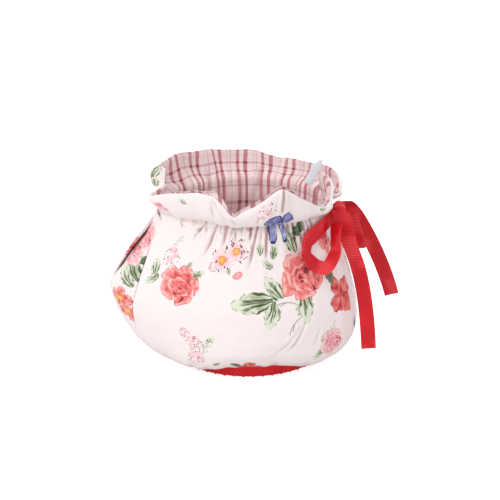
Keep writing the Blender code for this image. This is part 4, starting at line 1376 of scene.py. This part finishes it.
def draw_poppy(net, x, y, seed):
    """A ragged flower of a few broad petals with dark streaks from its heart."""
    x, y = hand_drawn(net, x, y, seed, 1.5, 0.34)
    x, y = hand_drawn(net, x, y, seed + 7.0, 4.5, 0.07)
    far, angle = polar(net, x, y)
    edge, _ = petal_edge(net, angle, 4.0, seed, 0.90, 0.40)
    petals = net.rise(edge - far, 0.0, 0.035)
    streaks = net.patches(angle * 3.6, far * 1.4, seed, 2.0)
    patches = net.patches(x * 3.0, y * 3.0, seed + 4.0)
    line = 1.0 - net.rise(edge - far, 0.01, 0.08)
    tone = net.rise(far / edge, 0.0, 0.9) * 0.25 + streaks * 1.6 + patches * 0.9 - line * 0.6 - 0.90
    pale = is_pale(seed)
    colour = net.tones(tone + pale * 0.25, POPPY)
    heart = net.rise(0.24 - far + (streaks - 0.5) * 0.4, 0.0, 0.08) * pale
    return net.paint(heart, colour, YELLOW), petals


def draw_blossom(net, x, y, seed):
    """A loose cluster of small pale blossoms with dark dabs."""
    far, _ = polar(net, x, y)
    near = net.nearest_dot(x * 1.9, y * 1.9, seed * 1.3)
    ragged = net.patches(x * 6.0, y * 6.0, seed)
    reach = net.rise(0.90 - far + (ragged - 0.5) * 0.4, 0.0, 0.12)
    petals = net.rise(0.62 - near + (ragged - 0.5) * 0.5, 0.0, 0.10) * reach
    colour = net.tones(near * 0.9 + ragged * 0.5, BLUSH)
    dabs = specks(net, x, y, seed, 4.6, 0.30) * net.rise(0.96 - far, 0.0, 0.1)
    return net.paint(dabs * 0.9, colour, PLUM), (petals * 0.9).at_least(dabs)


def own_place(dx, dy, turn):
    """A place as a turned shape sees it: along the shape and across it."""
    c, s = math.cos(turn), math.sin(turn)
    return dx * c + dy * s, dy * c - dx * s


def oval(net, x, y, centre_x, centre_y, long, short, turn):
    """How far inside an oval a place is: 1 in its middle and 0 at its edge."""
    along, across = own_place(x - centre_x, y - centre_y, turn)
    along, across = along / long, across / short
    return 1.0 - net.math("SQRT", along * along + across * across)


def block(x, y, centre_x, centre_y, wide, high, turn, corner):
    """How far inside a block a place is, 1 in its middle: round at corner 2 and squarer above."""
    along, across = own_place(x - centre_x, y - centre_y, turn)
    along, across = abs(along) / wide, abs(across) / high
    return 1.0 - (along**corner + across**corner) ** (1.0 / corner)


def covering(shapes):
    """How far inside the nearest of several shapes a place is."""
    first, *others = shapes
    for other in others:
        first = first.at_least(other)
    return first


# Parts of a bow: middle, half width, half height, turn and how square its corners are
BOW_LOOPS = ((-0.38, 0.56, 0.44, 0.36, 0.16, 2.4), (0.36, 0.60, 0.36, 0.38, 0.30, 2.6))
BOW_TAILS = ((-0.24, -0.34, 0.22, 0.60, 0.02, 4.0), (0.34, -0.40, 0.16, 0.56, 0.30, 4.0))
BOW_KNOT = ((0.02, 0.34, 0.14, 0.26, 0.2, 2.4),)
# The parts in the order they are laid down, with their two colours and the outline's width
BOW_LAYERS = (
    (BOW_TAILS, LILAC_PALE, LILAC, 0.36),
    (BOW_LOOPS, LILAC, LILAC_MID, 0.22),
    (BOW_KNOT, LILAC, LILAC_MID, 0.6),
)


def draw_bow(net, x, y, seed):
    """A plain ribbon bow: two loops, a knot and two tails, with a dark outline."""
    x, y = hand_drawn(net, x, y, seed, 3.0, 0.07)
    streaks = net.patches(x * 6.0, y * 2.2, seed)
    colour = mask = None
    for parts, pale, dark, rim in BOW_LAYERS:
        inside = covering([block(x, y, *part) for part in parts])
        wash = net.paint(net.rise(streaks, 0.46, 0.60), pale, dark)
        edge = (1.0 - net.rise(inside, rim * 0.5, rim)) * net.rise(streaks, 0.28, 0.42)
        folds = (1.0 - net.rise(abs(streaks - 0.50), 0.010, 0.035)) * 0.6
        wash = net.paint(edge.at_least(folds), wash, LILAC_DARK)
        shown = net.rise(inside, 0.0, 0.08)
        colour = net.paint(shown, colour, wash) if colour else wash
        mask = mask.at_least(shown) if mask else shown
    return colour, mask


def draw_bud(net, x, y, seed):
    """A single drop-shaped bud."""
    x, y = hand_drawn(net, x, y, seed, 1.6, 0.16)
    inside = oval(net, x, y, 0.0, 0.0, 0.80, 0.52, 0.9)
    streaks = net.patches(x * 5.0, y * 5.0, seed)
    return net.tones(inside * 0.3 + streaks * 0.7, PINK), net.rise(inside, 0.0, 0.10)


def draw_leaf(net, x, y, seed):
    """A pale leaf with strokes brushed out from its stalk and a dashed edge."""
    x, y = hand_drawn(net, x, y, seed, 1.5, 0.16)
    swell = (1.0 - x * x).at_least(0.0) ** 0.55
    width = swell * (0.88 - x * 0.16) + net.math("SINE", x * 13.0 + seed * 2.0) * 0.05
    side = abs(y)
    inside = net.rise(width - side, 0.0, 0.09)
    angle = net.math("ARCTAN2", y, x + 1.35)
    wobble = net.patches(x * 2.0, y * 3.0, seed + 9.0)
    fan = net.math("SINE", angle * 15.0 + wobble * 5.0 + seed)
    reach = 1.0 - net.rise(x + (wobble - 0.5) * 1.6, -0.15, 0.55)
    strokes = net.rise(fan, 0.15, 0.65) * reach
    rib = (1.0 - net.rise(side, 0.02, 0.13)) * (1.0 - net.rise(x, 0.35, 0.65))
    wash = net.rise(net.patches(x * 1.6, y * 2.4, seed), 0.42, 0.66) * reach
    dash = net.rise(net.math("SINE", x * 15.0 + seed * 3.0 + wobble * 4.0), 0.0, 0.4)
    edge = (1.0 - net.rise(width - side, 0.06, 0.18)) * dash
    colour = net.paint(wash * 0.8, LEAF_PALE, LEAF_MID)
    colour = net.paint(strokes.at_least(rib * 0.9).at_least(edge * 0.9), colour, LEAF_DARK)
    return net.paint(is_pale(seed) * 0.8, colour, LEAF_DEEP), inside


def draw_stem(net, x, y, seed):
    """A thin curved stem with a side twig."""
    main = abs(y - (x * x) * 0.55 + 0.2)
    twig = abs(y - (x - 0.1) * 0.9 + 0.15) + (1.0 - net.rise(x, -0.05, 0.05)) + net.rise(x, 0.55, 0.6)
    line = 1.0 - net.rise(main.at_most(twig), 0.035, 0.085)
    line = line * net.rise(0.9 - abs(x), 0.0, 0.05)
    return STALK, line * 0.8


SPRIG_LEAVES = ((-0.45, -1.0), (-0.05, 1.0), (0.35, -1.0), (0.68, 1.0))    # place, side


def draw_sprig(net, x, y, seed):
    """A stem with small leaves on alternate sides."""
    x, y = hand_drawn(net, x, y, seed, 1.5, 0.10)
    stem = 1.0 - net.rise(abs(y), 0.04, 0.10)
    inside = covering([
        oval(net, x, y, place, 0.42 * side, 0.34, 0.17, 0.75 * side) for place, side in SPRIG_LEAVES
    ])
    leaves = net.rise(inside, 0.0, 0.12)
    dark = (1.0 - net.rise(inside, 0.10, 0.30)) * net.rise(net.math("SINE", x * 15.0), 0.0, 0.4)
    colour = net.paint((dark * 0.8).at_least(stem * 0.7), LEAF_PALE, LEAF_DARK)
    return colour, leaves.at_least(stem * 0.8) * net.rise(0.95 - abs(x), 0.0, 0.06)


MOTIFS = {
    "rose": draw_rose, "daisy": draw_daisy, "poppy": draw_poppy, "blossom": draw_blossom,
    "bow": draw_bow, "bud": draw_bud, "leaf": draw_leaf, "stem": draw_stem, "sprig": draw_sprig,
}


def motif_groups():
    """A group for each kind of motif, from a place in its cell to a colour and a mask."""
    for kind, draw in MOTIFS.items():
        net, given, target = node_group(kind, MOTIF_INPUTS, MOTIF_OUTPUTS)
        colour, mask = draw(net, given["Across"], given["Up"], given["Variation"])
        net.feed(target["Colour"], colour)
        net.feed(target["Mask"], mask)


def cell_group():
    """Reads a print map: a motif's own coordinates, its kind and its variation."""
    outputs = {"Across": "number", "Up": "number", "Kind": "number", "Variation": "number"}
    net, given, target = node_group("Print cell", {"Map": "place"}, outputs)
    u, v, _ = net.split(given["Map"])
    for value, part, whole in ((u, "Across", "Kind"), (v, "Up", "Variation")):
        number = net.math("FLOOR", value)
        net.feed(target[part], (value - number - 0.5) / CELL_HALF)
        net.feed(target[whole], number)


def weave_group():
    """Plain weave: a height for the bump and a slight unevenness of the threads, from mm."""
    inputs = {"Place": "place", "Pitch": "number"}
    net, given, target = node_group("Weave", inputs, {"Height": "number", "Threads": "number"})
    x, y, _ = net.split(given["Place"])
    warp = net.math("SINE", x / given["Pitch"] * TAU)
    weft = net.math("SINE", y / given["Pitch"] * TAU)
    threads = (net.patches(x * 2.2, y * 0.10) + net.patches(x * 0.10, y * 2.2, 4.0)) * 0.5
    net.feed(target["Height"], warp * weft * 0.5 + threads)
    net.feed(target["Threads"], threads)


# Stripes of the plaid, in mm: a stripe's middle, its width and how strong it is; red, then taupe
WARP_REPEAT = 24.0
WARP_RED = ((3.0, 3.4, 1.0), (10.2, 3.0, 0.9))
WARP_TAUPE = ((17.2, 1.4, 0.7), (20.0, 0.8, 0.5))
WEFT_REPEAT = 40.8
WEFT_RED = ((19.0, 3.2, 0.5), (32.4, 3.2, 0.5))
WEFT_TAUPE = ((5.6, 1.6, 0.8), (12.0, 0.9, 0.4), (26.0, 0.9, 0.4))


def stripes(net, run, repeat, table):
    """How much of a thread colour there is at places along the run, from 0 to 1."""
    place = net.math("FRACT", run / repeat + 20.0) * repeat
    total = 0.0
    for middle, width, strength in table:
        total = net.rise(width / 2.0 - abs(place - middle), -0.15, 0.15) * strength + total
    return total


def plaid_group():
    """Red and taupe stripes both ways, doubly dark where they cross, with a twill hatch."""
    net, given, target = node_group("Plaid", {"Place": "place"}, {"Colour": "colour"})
    x, y, _ = net.split(given["Place"])
    hatch = net.math("SINE", (x + y) * (TAU / 1.15)) * 0.16 + 0.84
    colour = net.paint(net.rise(net.patches(x * 0.4, y * 0.4, detail=2.0), 0.3, 0.7), *PLAID_GROUND)
    crossing = 2.0
    for run, repeat, red, taupe in (
        (x, WARP_REPEAT, WARP_RED, WARP_TAUPE), (y, WEFT_REPEAT, WEFT_RED, WEFT_TAUPE)
    ):
        colour = net.tinted(stripes(net, run, repeat, taupe) * hatch, colour, PLAID_TAUPE)
        reds = stripes(net, run, repeat, red)
        colour = net.tinted(reds * hatch, colour, PLAID_RED)
        crossing = reds * crossing
    net.feed(target["Colour"], net.tinted(crossing, colour, PLAID_CROSS))


# ---------------------------------------------------------------- materials
def new_material(name, roughness, sheen=0.0):
    """A material's net and its shader, with its even values set."""
    material = bpy.data.materials.new(name)
    material.use_nodes = True
    shader = material.node_tree.nodes["Principled BSDF"]
    shader.inputs["Roughness"].default_value = roughness
    shader.inputs["Sheen Weight"].default_value = sheen
    shader.inputs["Sheen Roughness"].default_value = 0.5
    shader.inputs["Specular IOR Level"].default_value = 0.3
    return Net(material.node_tree), shader


def dimmed(colour, part):
    return tuple(value * part for value in colour)


def bumped(net, shader, height, strength, distance):
    node = net.node("ShaderNodeBump", {"Height": height, "Strength": strength, "Distance": distance})
    net.feed(shader.inputs["Normal"], node.outputs["Normal"])


def printed(net, below, map_name, kinds):
    """Lay every kind of motif of one print map over a colour."""
    cell = net.group("Print cell", Map=net.map_place(map_name))
    for number, kind in enumerate(kinds):
        motif = net.group(kind, Across=cell["Across"], Up=cell["Up"], Variation=cell["Variation"])
        chosen = net.math("COMPARE", Number(net, cell["Kind"]), float(number), 0.3)
        below = net.paint(chosen * Number(net, motif["Mask"]), below, motif["Colour"])
    return below


def painted_crease_shade(net, colour, shade, strength):
    """Painted shade: cloth is made a little darker down in its creases, and on the panels also in the neck's
    groove and towards the hem.
    """
    crease = net.node("ShaderNodeAttribute", attribute_name="crease", attribute_type="GEOMETRY")
    return net.tinted(net.rise(crease.outputs["Fac"], 0.1, 1.0) * strength, colour, shade)


def floral_material(settings):
    net, shader = new_material("printed_cloth", 0.85, 0.15)
    weave = net.group("Weave", Place=net.map_place("Cloth"), Pitch=WEAVE_PITCH)
    threads = net.rise(Number(net, weave["Threads"]), 0.3, 0.7)
    ground = tuple(settings.ground)
    cloth = net.paint(threads * 0.5, ground, dimmed(ground, 0.965))
    cloth = printed(net, cloth, "Leaf", LEAF_KINDS)
    cloth = printed(net, cloth, "Bloom", BLOOM_KINDS)
    # Painted shade in the creases, the neck's groove and towards the hem.
    net.feed(shader.inputs["Base Color"], painted_crease_shade(net, cloth, CREASE_SHADE, 0.9))
    bumped(net, shader, weave["Height"], 0.25, 0.00012)


def plaid_material():
    net, shader = new_material("plaid_cloth", 0.85, 0.1)
    place = net.map_place("Cloth")
    plaid = net.group("Plaid", Place=place)["Colour"]
    weave = net.group("Weave", Place=place, Pitch=WEAVE_PITCH)
    # Painted shade in the lining's creases.
    net.feed(shader.inputs["Base Color"], painted_crease_shade(net, plaid, CREASE_SHADE, 0.6))
    bumped(net, shader, weave["Height"], 0.3, 0.00012)


def ribbon_material(settings):
    net, shader = new_material("grosgrain", 0.5)
    place = net.map_place("Cloth")
    _, along, _ = net.split(place)
    rib = net.math("SINE", along * (TAU * MM / settings.rib_pitch)) * 0.5 + 0.5
    # Random patches: they vary the ribbon's tone, and mark where the painted highlights fall.
    tone_and_highlight_patches = net.noise(net.object_place(), 55.0)
    weave = net.group("Weave", Place=place, Pitch=RIBBON_WEAVE_PITCH)
    threads = Number(net, weave["Threads"])
    red = tuple(settings.colour)
    # Painted light and shade along the ribs, with the threads' unevenness and random patches of tone.
    tone = rib * 0.45 + threads * 0.25 + net.rise(tone_and_highlight_patches, 0.35, 0.65) * 0.35
    colour = net.paint(tone, dimmed(red, 0.58), red)
    # Painted highlights on the ribs' crests, in patches.
    painted_highlight = net.rise(rib, 0.45, 0.95) * net.rise(tone_and_highlight_patches, 0.46, 0.60)
    net.feed(shader.inputs["Base Color"], net.paint(painted_highlight * 0.75, colour, RIBBON_HIGHLIGHT))
    net.feed(shader.inputs["Roughness"], net.math("MULTIPLY_ADD", threads, 0.2, 0.34))
    bumped(net, shader, weave["Height"], 0.3, 0.0001)


def knit_material(settings):
    net, shader = new_material("knit_yarn", 0.95)
    place = net.object_place()
    fuzz = net.noise(place, 1400.0, 2.0)
    tone = net.noise(place, 190.0)
    x, y, z = net.split(place)
    twist = net.math("SINE", net.math("ARCTAN2", y, x - AXIS_X * MM) * settings.columns + z * KNIT_SLANT)
    red = tuple(settings.colour)
    shade = net.rise(fuzz * 0.45 + tone * 0.30 + (twist * 0.5 + 0.5) * 0.25, 0.25, 0.60)
    net.feed(shader.inputs["Base Color"], net.paint(shade, dimmed(red, 0.86), red))
    bumped(net, shader, fuzz, 0.35, 0.0002)


def label_material():
    net, shader = new_material("label_satin", 0.38, 0.2)
    weave = net.group("Weave", Place=net.map_place("Cloth"), Pitch=LABEL_WEAVE_PITCH)
    threads = Number(net, weave["Threads"])
    net.feed(shader.inputs["Base Color"], net.paint(threads, *LABEL_WHITE))
    bumped(net, shader, weave["Height"], 0.2, 0.0001)


def thread_material():
    net, shader = new_material("pink_thread", 0.7, 0.2)
    twist = net.noise(net.object_place(), 2600.0)
    net.feed(shader.inputs["Base Color"], net.paint(twist, *THREAD_PINK))
    bumped(net, shader, twist, 0.4, 0.0001)


def build_materials(scene):
    floral_material(scene.cosy_cloth)
    plaid_material()
    ribbon_material(scene.cosy_ribbon)
    knit_material(scene.cosy_knit)
    label_material()
    thread_material()


# ---------------------------------------------------------------- node-built knit and stitching
def geometry_tree(name, **inputs):
    """A new geometry tree with named inputs: its net, its input sockets and its result's."""
    inputs = {"Geometry": "mesh", **inputs, "Material": "material"}
    return node_group(name, inputs, {"Geometry": "mesh"}, "GeometryNodeTree")


def ball(net, segments, rings, radius, **placing):
    """A small ball, moved, turned and stretched."""
    sizes = {"Segments": segments, "Rings": rings, "Radius": radius}
    made = net.node("GeometryNodeMeshUVSphere", sizes).outputs["Mesh"]
    return net.node("GeometryNodeTransform", {"Geometry": made, **placing}).outputs["Geometry"]


def lay_on(net, points, shape, turn, given, target):
    """Lay a smooth shape on every point, as real faces of the tree's material."""
    smooth = net.node("GeometryNodeSetShadeSmooth", {"Geometry": shape}).outputs["Geometry"]
    placing = {"Points": points, "Instance": smooth, "Rotation": turn}
    placed = net.node("GeometryNodeInstanceOnPoints", placing).outputs["Instances"]
    real = net.node("GeometryNodeRealizeInstances", {"Geometry": placed}).outputs["Geometry"]
    painted = net.node("GeometryNodeSetMaterial", {"Geometry": real, "Material": given["Material"]})
    net.feed(target["Geometry"], painted.outputs["Geometry"])


def run_tree(name, base_mesh, tree, **values):
    """Evaluate a tree on a mesh once and keep the result as a plain mesh."""
    obj = add_object(name + "_source", base_mesh)
    modifier = obj.modifiers.new("Nodes", "NODES")
    modifier.node_group = tree
    for item in tree.interface.items_tree:
        if item.name in values:
            modifier[item.identifier] = values[item.name]
    depsgraph = bpy.context.evaluated_depsgraph_get()
    mesh = bpy.data.meshes.new_from_object(obj.evaluated_get(depsgraph))
    mesh.name = name
    bpy.data.objects.remove(obj)
    return add_object(name, mesh)


def stitch_tree():
    """Ribbed knit: columns of V-shaped stitches round the axis, every other column set back."""
    net, given, target = geometry_tree(
        "Knit stitches", Columns="whole", Rows="whole", Reach="number", Height="number", Stitch="number"
    )
    columns, rows, stitch = given["Columns"], given["Rows"], given["Stitch"]
    index = Number(net, net.node("GeometryNodeInputIndex").outputs[0])
    row = net.math("FLOOR", (index + 0.5) / columns)
    column = index - row * columns
    angle = column / columns * TAU
    odd = net.math("MODULO", column, 2.0)
    wave = net.math("SINE", angle * 19.0) * 0.6 + net.math("SINE", angle * 31.0 + 1.0) * 0.4
    reach = given["Reach"] - odd * KNIT_RIB + wave * KNIT_WAVE
    ragged = (1.0 - row / rows) * (abs(net.math("SINE", angle * 27.0)) * KNIT_RAGGED)
    height = (row + ROW_HEIGHT) / rows * given["Height"] + ragged
    east, north = reach * net.math("COSINE", angle), reach * net.math("SINE", angle)
    place = net.vector(east + AXIS_X * MM, north, height)
    points = net.node("GeometryNodePoints", {"Count": columns * rows, "Position": place}).outputs[0]
    both = net.node("GeometryNodeJoinGeometry")
    for side in (-1.0, 1.0):
        half = ball(
            net, *STITCH_HALF, 1.0, Translation=net.vector(stitch * (STITCH_APART * side), 0.0, 0.0),
            Rotation=(0.0, STITCH_LEAN * side, 0.0),
            Scale=net.vector(*(stitch * part for part in STITCH_SIZE)),
        )
        net.tree.links.new(half, both.inputs["Geometry"])
    turn = net.vector(0.0, 0.0, angle - math.pi / 2.0)
    lay_on(net, points, both.outputs["Geometry"], turn, given, target)
    return net.tree


def knit_backing():
    """The solid ring behind the stitches, whose top ends in the cloth's seam."""
    turns, rings = BACKING_GRID
    levels = np.linspace(KNIT_LIFT, KNIT_HEIGHT, rings)
    outside = [(KNIT_OUTER - BACKING_INSET, level) for level in levels]
    inside = [(KNIT_INNER, level) for level in levels[::-1]]
    reach, level = np.array(outside + [KNIT_SEAM] + inside).T[..., None]
    angle = np.arange(turns) / turns * TAU
    east, north = AXIS_X + reach * np.cos(angle), reach * np.sin(angle)
    points = np.stack([east, north, level + 0.0 * angle], axis=-1)
    place = np.arange(points.size // 3).reshape(-1, turns)
    corners = [place, np.roll(place, -1, 1), np.roll(place, (-1, -1), (0, 1)), np.roll(place, -1, 0)]
    faces = np.stack(corners, axis=-1).reshape(-1, 4)
    mesh = mesh_from_faces("knit_backing", points.reshape(-1, 3), faces)
    mesh.materials.append(bpy.data.materials["knit_yarn"])
    return add_object("knit_backing", mesh)


def build_knit(settings):
    """The ribbed knit base: a ring with its stitches standing on it."""
    stitches = run_tree(
        "knit_stitches", bpy.data.meshes.new("knit_source"), stitch_tree(), Columns=settings.columns,
        Rows=settings.rows, Reach=(KNIT_OUTER - STITCH_INSET) * MM, Height=(KNIT_HEIGHT - STITCH_DROP) * MM,
        Stitch=settings.stitch, Material=bpy.data.materials["knit_yarn"],
    )
    backing = knit_backing()
    finish_piece(stitches, "red_knit")
    finish_piece(backing, "red_knit", "knit_base")


def seam_tree():
    """Topstitching: short threads laid end to end along the edges of the source mesh."""
    net, given, target = geometry_tree("Topstitching", Spacing="number", Length="number", Thread="number")
    curve = net.node("GeometryNodeMeshToCurve", {"Mesh": given["Geometry"]}).outputs["Curve"]
    spaced = {"Curve": curve, "Length": given["Spacing"]}
    points = net.node("GeometryNodeResampleCurve", spaced, mode="LENGTH").outputs["Curve"]
    thread = ball(net, *SEAM_THREAD, 0.5, Scale=net.vector(given["Thread"], given["Thread"], given["Length"]))
    tangent = net.node("GeometryNodeInputTangent").outputs["Tangent"]
    turn = net.node("FunctionNodeAlignRotationToVector", {"Vector": tangent}, axis="Z")
    lay_on(net, points, thread, turn.outputs["Rotation"], given, target)
    return net.tree


def seam_line(side):
    """A line of topstitching along a panel's edge at the handle slit, as points in mm."""
    up = np.linspace(*SEAM_RUN)
    inset = SEAM_INSET / PANEL_WIDTH
    line = panel_surface(np.full(len(up), 1.0 - inset if side is FRONT else inset), up, side)
    outward = line - np.array([AXIS_X, 0.0, 0.0])
    outward[:, 2] = 0.0
    return line + outward / np.linalg.norm(outward, axis=1)[:, None] * SEAM_STANDS


def build_seams(settings):
    """Topstitching beside the handle slit's turned edges."""
    points, edges = [], []
    for side in (FRONT, BACK):
        line = seam_line(side) * MM
        edges += [(len(points) + i, len(points) + i + 1) for i in range(len(line) - 1)]
        points += line.tolist()
    mesh = bpy.data.meshes.new("seam_source")
    mesh.from_pydata(points, edges, [])
    obj = run_tree(
        "topstitching", mesh, seam_tree(), Spacing=settings.spacing, Length=settings.spacing * STITCH_PART,
        Thread=settings.thread, Material=bpy.data.materials["pink_thread"],
    )
    finish_piece(obj, "floral_cotton")


# ---------------------------------------------------------------- stage
def add_area_light(name, place, size, power):
    light = bpy.data.lights.new(name, "AREA")
    light.size = size
    light.energy = power
    obj = add_object(name, light)
    obj.location = place
    aim = Vector((AXIS_X * MM, 0.0, LIT_HEIGHT)) - Vector(place)
    obj.rotation_euler = aim.to_track_quat("-Z", "Y").to_euler()


def build_floor():
    """A white sweep under the cosy."""
    mesh = bpy.data.meshes.new("floor")
    half, level = FLOOR_HALF, FLOOR_LEVEL
    corners = [(-half, -half, level), (half, -half, level), (half, half, level), (-half, half, level)]
    mesh.from_pydata(corners, [], [(0, 1, 2, 3)])
    net, shader = new_material("white_floor", 0.9)
    for socket in ("Base Color", "Emission Color"):
        shader.inputs[socket].default_value = FLOOR_WHITE
    seen = net.node("ShaderNodeLightPath").outputs["Is Camera Ray"]
    net.feed(shader.inputs["Emission Strength"], seen)
    mesh.materials.append(bpy.data.materials["white_floor"])
    add_object("floor", mesh)


def build_world(settings):
    """White behind the cosy, and a softer white light on it."""
    world = bpy.data.worlds.new("White room")
    world.use_nodes = True
    net = Net(world.node_tree)
    world.node_tree.nodes.clear()
    seen = net.node("ShaderNodeLightPath").outputs["Is Camera Ray"]
    strength = net.blend(seen, settings.fill, 1.0)
    background = net.node("ShaderNodeBackground", {"Color": (1.0, 1.0, 1.0, 1.0), "Strength": strength})
    net.node("ShaderNodeOutputWorld", {"Surface": background.outputs["Background"]})
    bpy.context.scene.world = world


def build_camera():
    camera = bpy.data.cameras.new("Camera")
    camera.lens = CAMERA_LENS
    camera.sensor_width = 36.0
    camera.clip_start = 0.01
    obj = add_object("Camera", camera)
    obj.location = CAMERA_PLACE
    obj.rotation_euler = (math.radians(CAMERA_TILT), 0.0, 0.0)
    bpy.context.scene.camera = obj


def build_stage(settings):
    build_floor()
    build_world(settings)
    for name, place, size, power in LIGHTS:
        add_area_light(name, place, size, power * settings.key)
    build_camera()
    bpy.context.scene.view_settings.view_transform = "Standard"


# ---------------------------------------------------------------- settings
class ClothSettings(bpy.types.PropertyGroup):
    panel_thickness: bpy.props.FloatProperty(
        name="Panel thickness", description="Thickness of the padded cloth",
        default=0.0022, min=0.0005, max=0.004, unit="LENGTH",
    )
    lining_thickness: bpy.props.FloatProperty(
        name="Lining thickness", description="Thickness of the plaid lining",
        default=0.0010, min=0.0004, max=0.002, unit="LENGTH",
    )
    gather_depth: bpy.props.FloatProperty(
        name="Gather depth", description="How deep the gathers are", default=1.0, min=0.0, max=2.0,
    )
    puff: bpy.props.FloatProperty(
        name="Puff", description="Unevenness of the padding", default=0.0007, min=0.0, max=0.003,
        unit="LENGTH",
    )
    ground: bpy.props.FloatVectorProperty(
        name="Ground", description="Colour of the printed cotton between its motifs",
        default=GROUND, subtype="COLOR",
    )


class RibbonSettings(bpy.types.PropertyGroup):
    width: bpy.props.FloatProperty(
        name="Width", description="Width of the grosgrain", default=0.0118, min=0.004, max=0.02,
        unit="LENGTH",
    )
    thickness: bpy.props.FloatProperty(
        name="Thickness", description="Thickness of the grosgrain", default=0.0009, min=0.0003, max=0.002,
        unit="LENGTH",
    )
    rib_pitch: bpy.props.FloatProperty(
        name="Rib pitch", description="From one crosswise rib to the next", default=0.0013, min=0.0004,
        max=0.004, unit="LENGTH",
    )
    colour: bpy.props.FloatVectorProperty(
        name="Colour", description="Colour of the ribbon", default=RIBBON_RED, subtype="COLOR",
    )


class KnitSettings(bpy.types.PropertyGroup):
    columns: bpy.props.IntProperty(
        name="Columns", description="Columns of stitches round the base", default=216, min=24, max=400,
    )
    rows: bpy.props.IntProperty(
        name="Rows", description="Rows of stitches up the base", default=7, min=2, max=12,
    )
    stitch: bpy.props.FloatProperty(
        name="Stitch", description="Size of a stitch", default=0.00165, min=0.0005, max=0.004, unit="LENGTH",
    )
    colour: bpy.props.FloatVectorProperty(
        name="Colour", description="Colour of the knit", default=KNIT_RED, subtype="COLOR",
    )


class SeamSettings(bpy.types.PropertyGroup):
    spacing: bpy.props.FloatProperty(
        name="Spacing", description="From one stitch of the topstitching to the next", default=0.0026,
        min=0.001, max=0.006, unit="LENGTH",
    )
    thread: bpy.props.FloatProperty(
        name="Thread", description="Thickness of the thread", default=0.0005, min=0.0002, max=0.001,
        unit="LENGTH",
    )


class StageSettings(bpy.types.PropertyGroup):
    key: bpy.props.FloatProperty(
        name="Lights", description="Brightness of all the lights together", default=1.0, min=0.0, max=4.0,
    )
    fill: bpy.props.FloatProperty(
        name="Room", description="Brightness of the white room on the cosy", default=WORLD_FILL, min=0.0,
        max=2.0,
    )


# ---------------------------------------------------------------- operators
class COSY_OT_materials(bpy.types.Operator):
    """Make the print, plaid, ribbon, knit and thread materials"""

    bl_idname = "cosy.materials"
    bl_label = "Build materials"

    def execute(self, context):
        for make in (motif_groups, cell_group, weave_group, plaid_group):
            make()
        build_materials(context.scene)
        return {"FINISHED"}


class COSY_OT_cloth(bpy.types.Operator):
    """Build the padded panels and the side strips"""

    bl_idname = "cosy.cloth"
    bl_label = "Build panels and strips"

    def execute(self, context):
        for side in (FRONT, BACK):
            build_panel(context.scene.cosy_cloth, side)
            build_strip(context.scene.cosy_cloth, side)
        return {"FINISHED"}


class COSY_OT_lining(bpy.types.Operator):
    """Build the plaid linings"""

    bl_idname = "cosy.lining"
    bl_label = "Build linings"

    def execute(self, context):
        for side in (FRONT, BACK):
            build_lining(context.scene.cosy_cloth, side)
        return {"FINISHED"}


class COSY_OT_knit(bpy.types.Operator):
    """Build the ribbed knit base"""

    bl_idname = "cosy.knit"
    bl_label = "Build knit base"

    def execute(self, context):
        build_knit(context.scene.cosy_knit)
        return {"FINISHED"}


class COSY_OT_ribbon(bpy.types.Operator):
    """Build the grosgrain bow, its tails and the label behind it"""

    bl_idname = "cosy.ribbon"
    bl_label = "Build ribbon and label"

    def execute(self, context):
        build_knot()
        build_ribbons(context.scene.cosy_ribbon)
        build_label()
        return {"FINISHED"}


class COSY_OT_seams(bpy.types.Operator):
    """Build the topstitching"""

    bl_idname = "cosy.seams"
    bl_label = "Build topstitching"

    def execute(self, context):
        build_seams(context.scene.cosy_seam)
        return {"FINISHED"}


class COSY_OT_stage(bpy.types.Operator):
    """Set up the floor, the white room, the lights and the camera"""

    bl_idname = "cosy.stage"
    bl_label = "Build stage"

    def execute(self, context):
        build_stage(context.scene.cosy_stage)
        return {"FINISHED"}


OPERATORS = (
    COSY_OT_materials, COSY_OT_knit, COSY_OT_cloth, COSY_OT_lining, COSY_OT_ribbon, COSY_OT_seams,
    COSY_OT_stage,
)
SETTINGS = (
    ("cosy_cloth", ClothSettings), ("cosy_ribbon", RibbonSettings), ("cosy_knit", KnitSettings),
    ("cosy_seam", SeamSettings), ("cosy_stage", StageSettings),
)


class COSY_PT_panel(bpy.types.Panel):
    """Settings and steps of the tea cosy"""

    bl_idname = "COSY_PT_panel"
    bl_label = "Tea cosy"
    bl_space_type = "VIEW_3D"
    bl_region_type = "UI"
    bl_category = "Tea cosy"

    def draw(self, context):
        for name, group in SETTINGS:
            box = self.layout.box()
            for key in group.__annotations__:
                box.prop(getattr(context.scene, name), key)
        for operator in OPERATORS:
            self.layout.operator(operator.bl_idname)


def register():
    for name, group in SETTINGS:
        bpy.utils.register_class(group)
        setattr(bpy.types.Scene, name, bpy.props.PointerProperty(type=group))
    for operator in OPERATORS:
        bpy.utils.register_class(operator)
    bpy.utils.register_class(COSY_PT_panel)


def unregister():
    bpy.utils.unregister_class(COSY_PT_panel)
    for operator in reversed(OPERATORS):
        bpy.utils.unregister_class(operator)
    for name, group in reversed(SETTINGS):
        delattr(bpy.types.Scene, name)
        bpy.utils.unregister_class(group)


def main():
    register()
    for step in ("materials", "knit", "cloth", "lining", "ribbon", "seams", "stage"):
        getattr(bpy.ops.cosy, step)()
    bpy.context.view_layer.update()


if __name__ == "__main__":
    main()
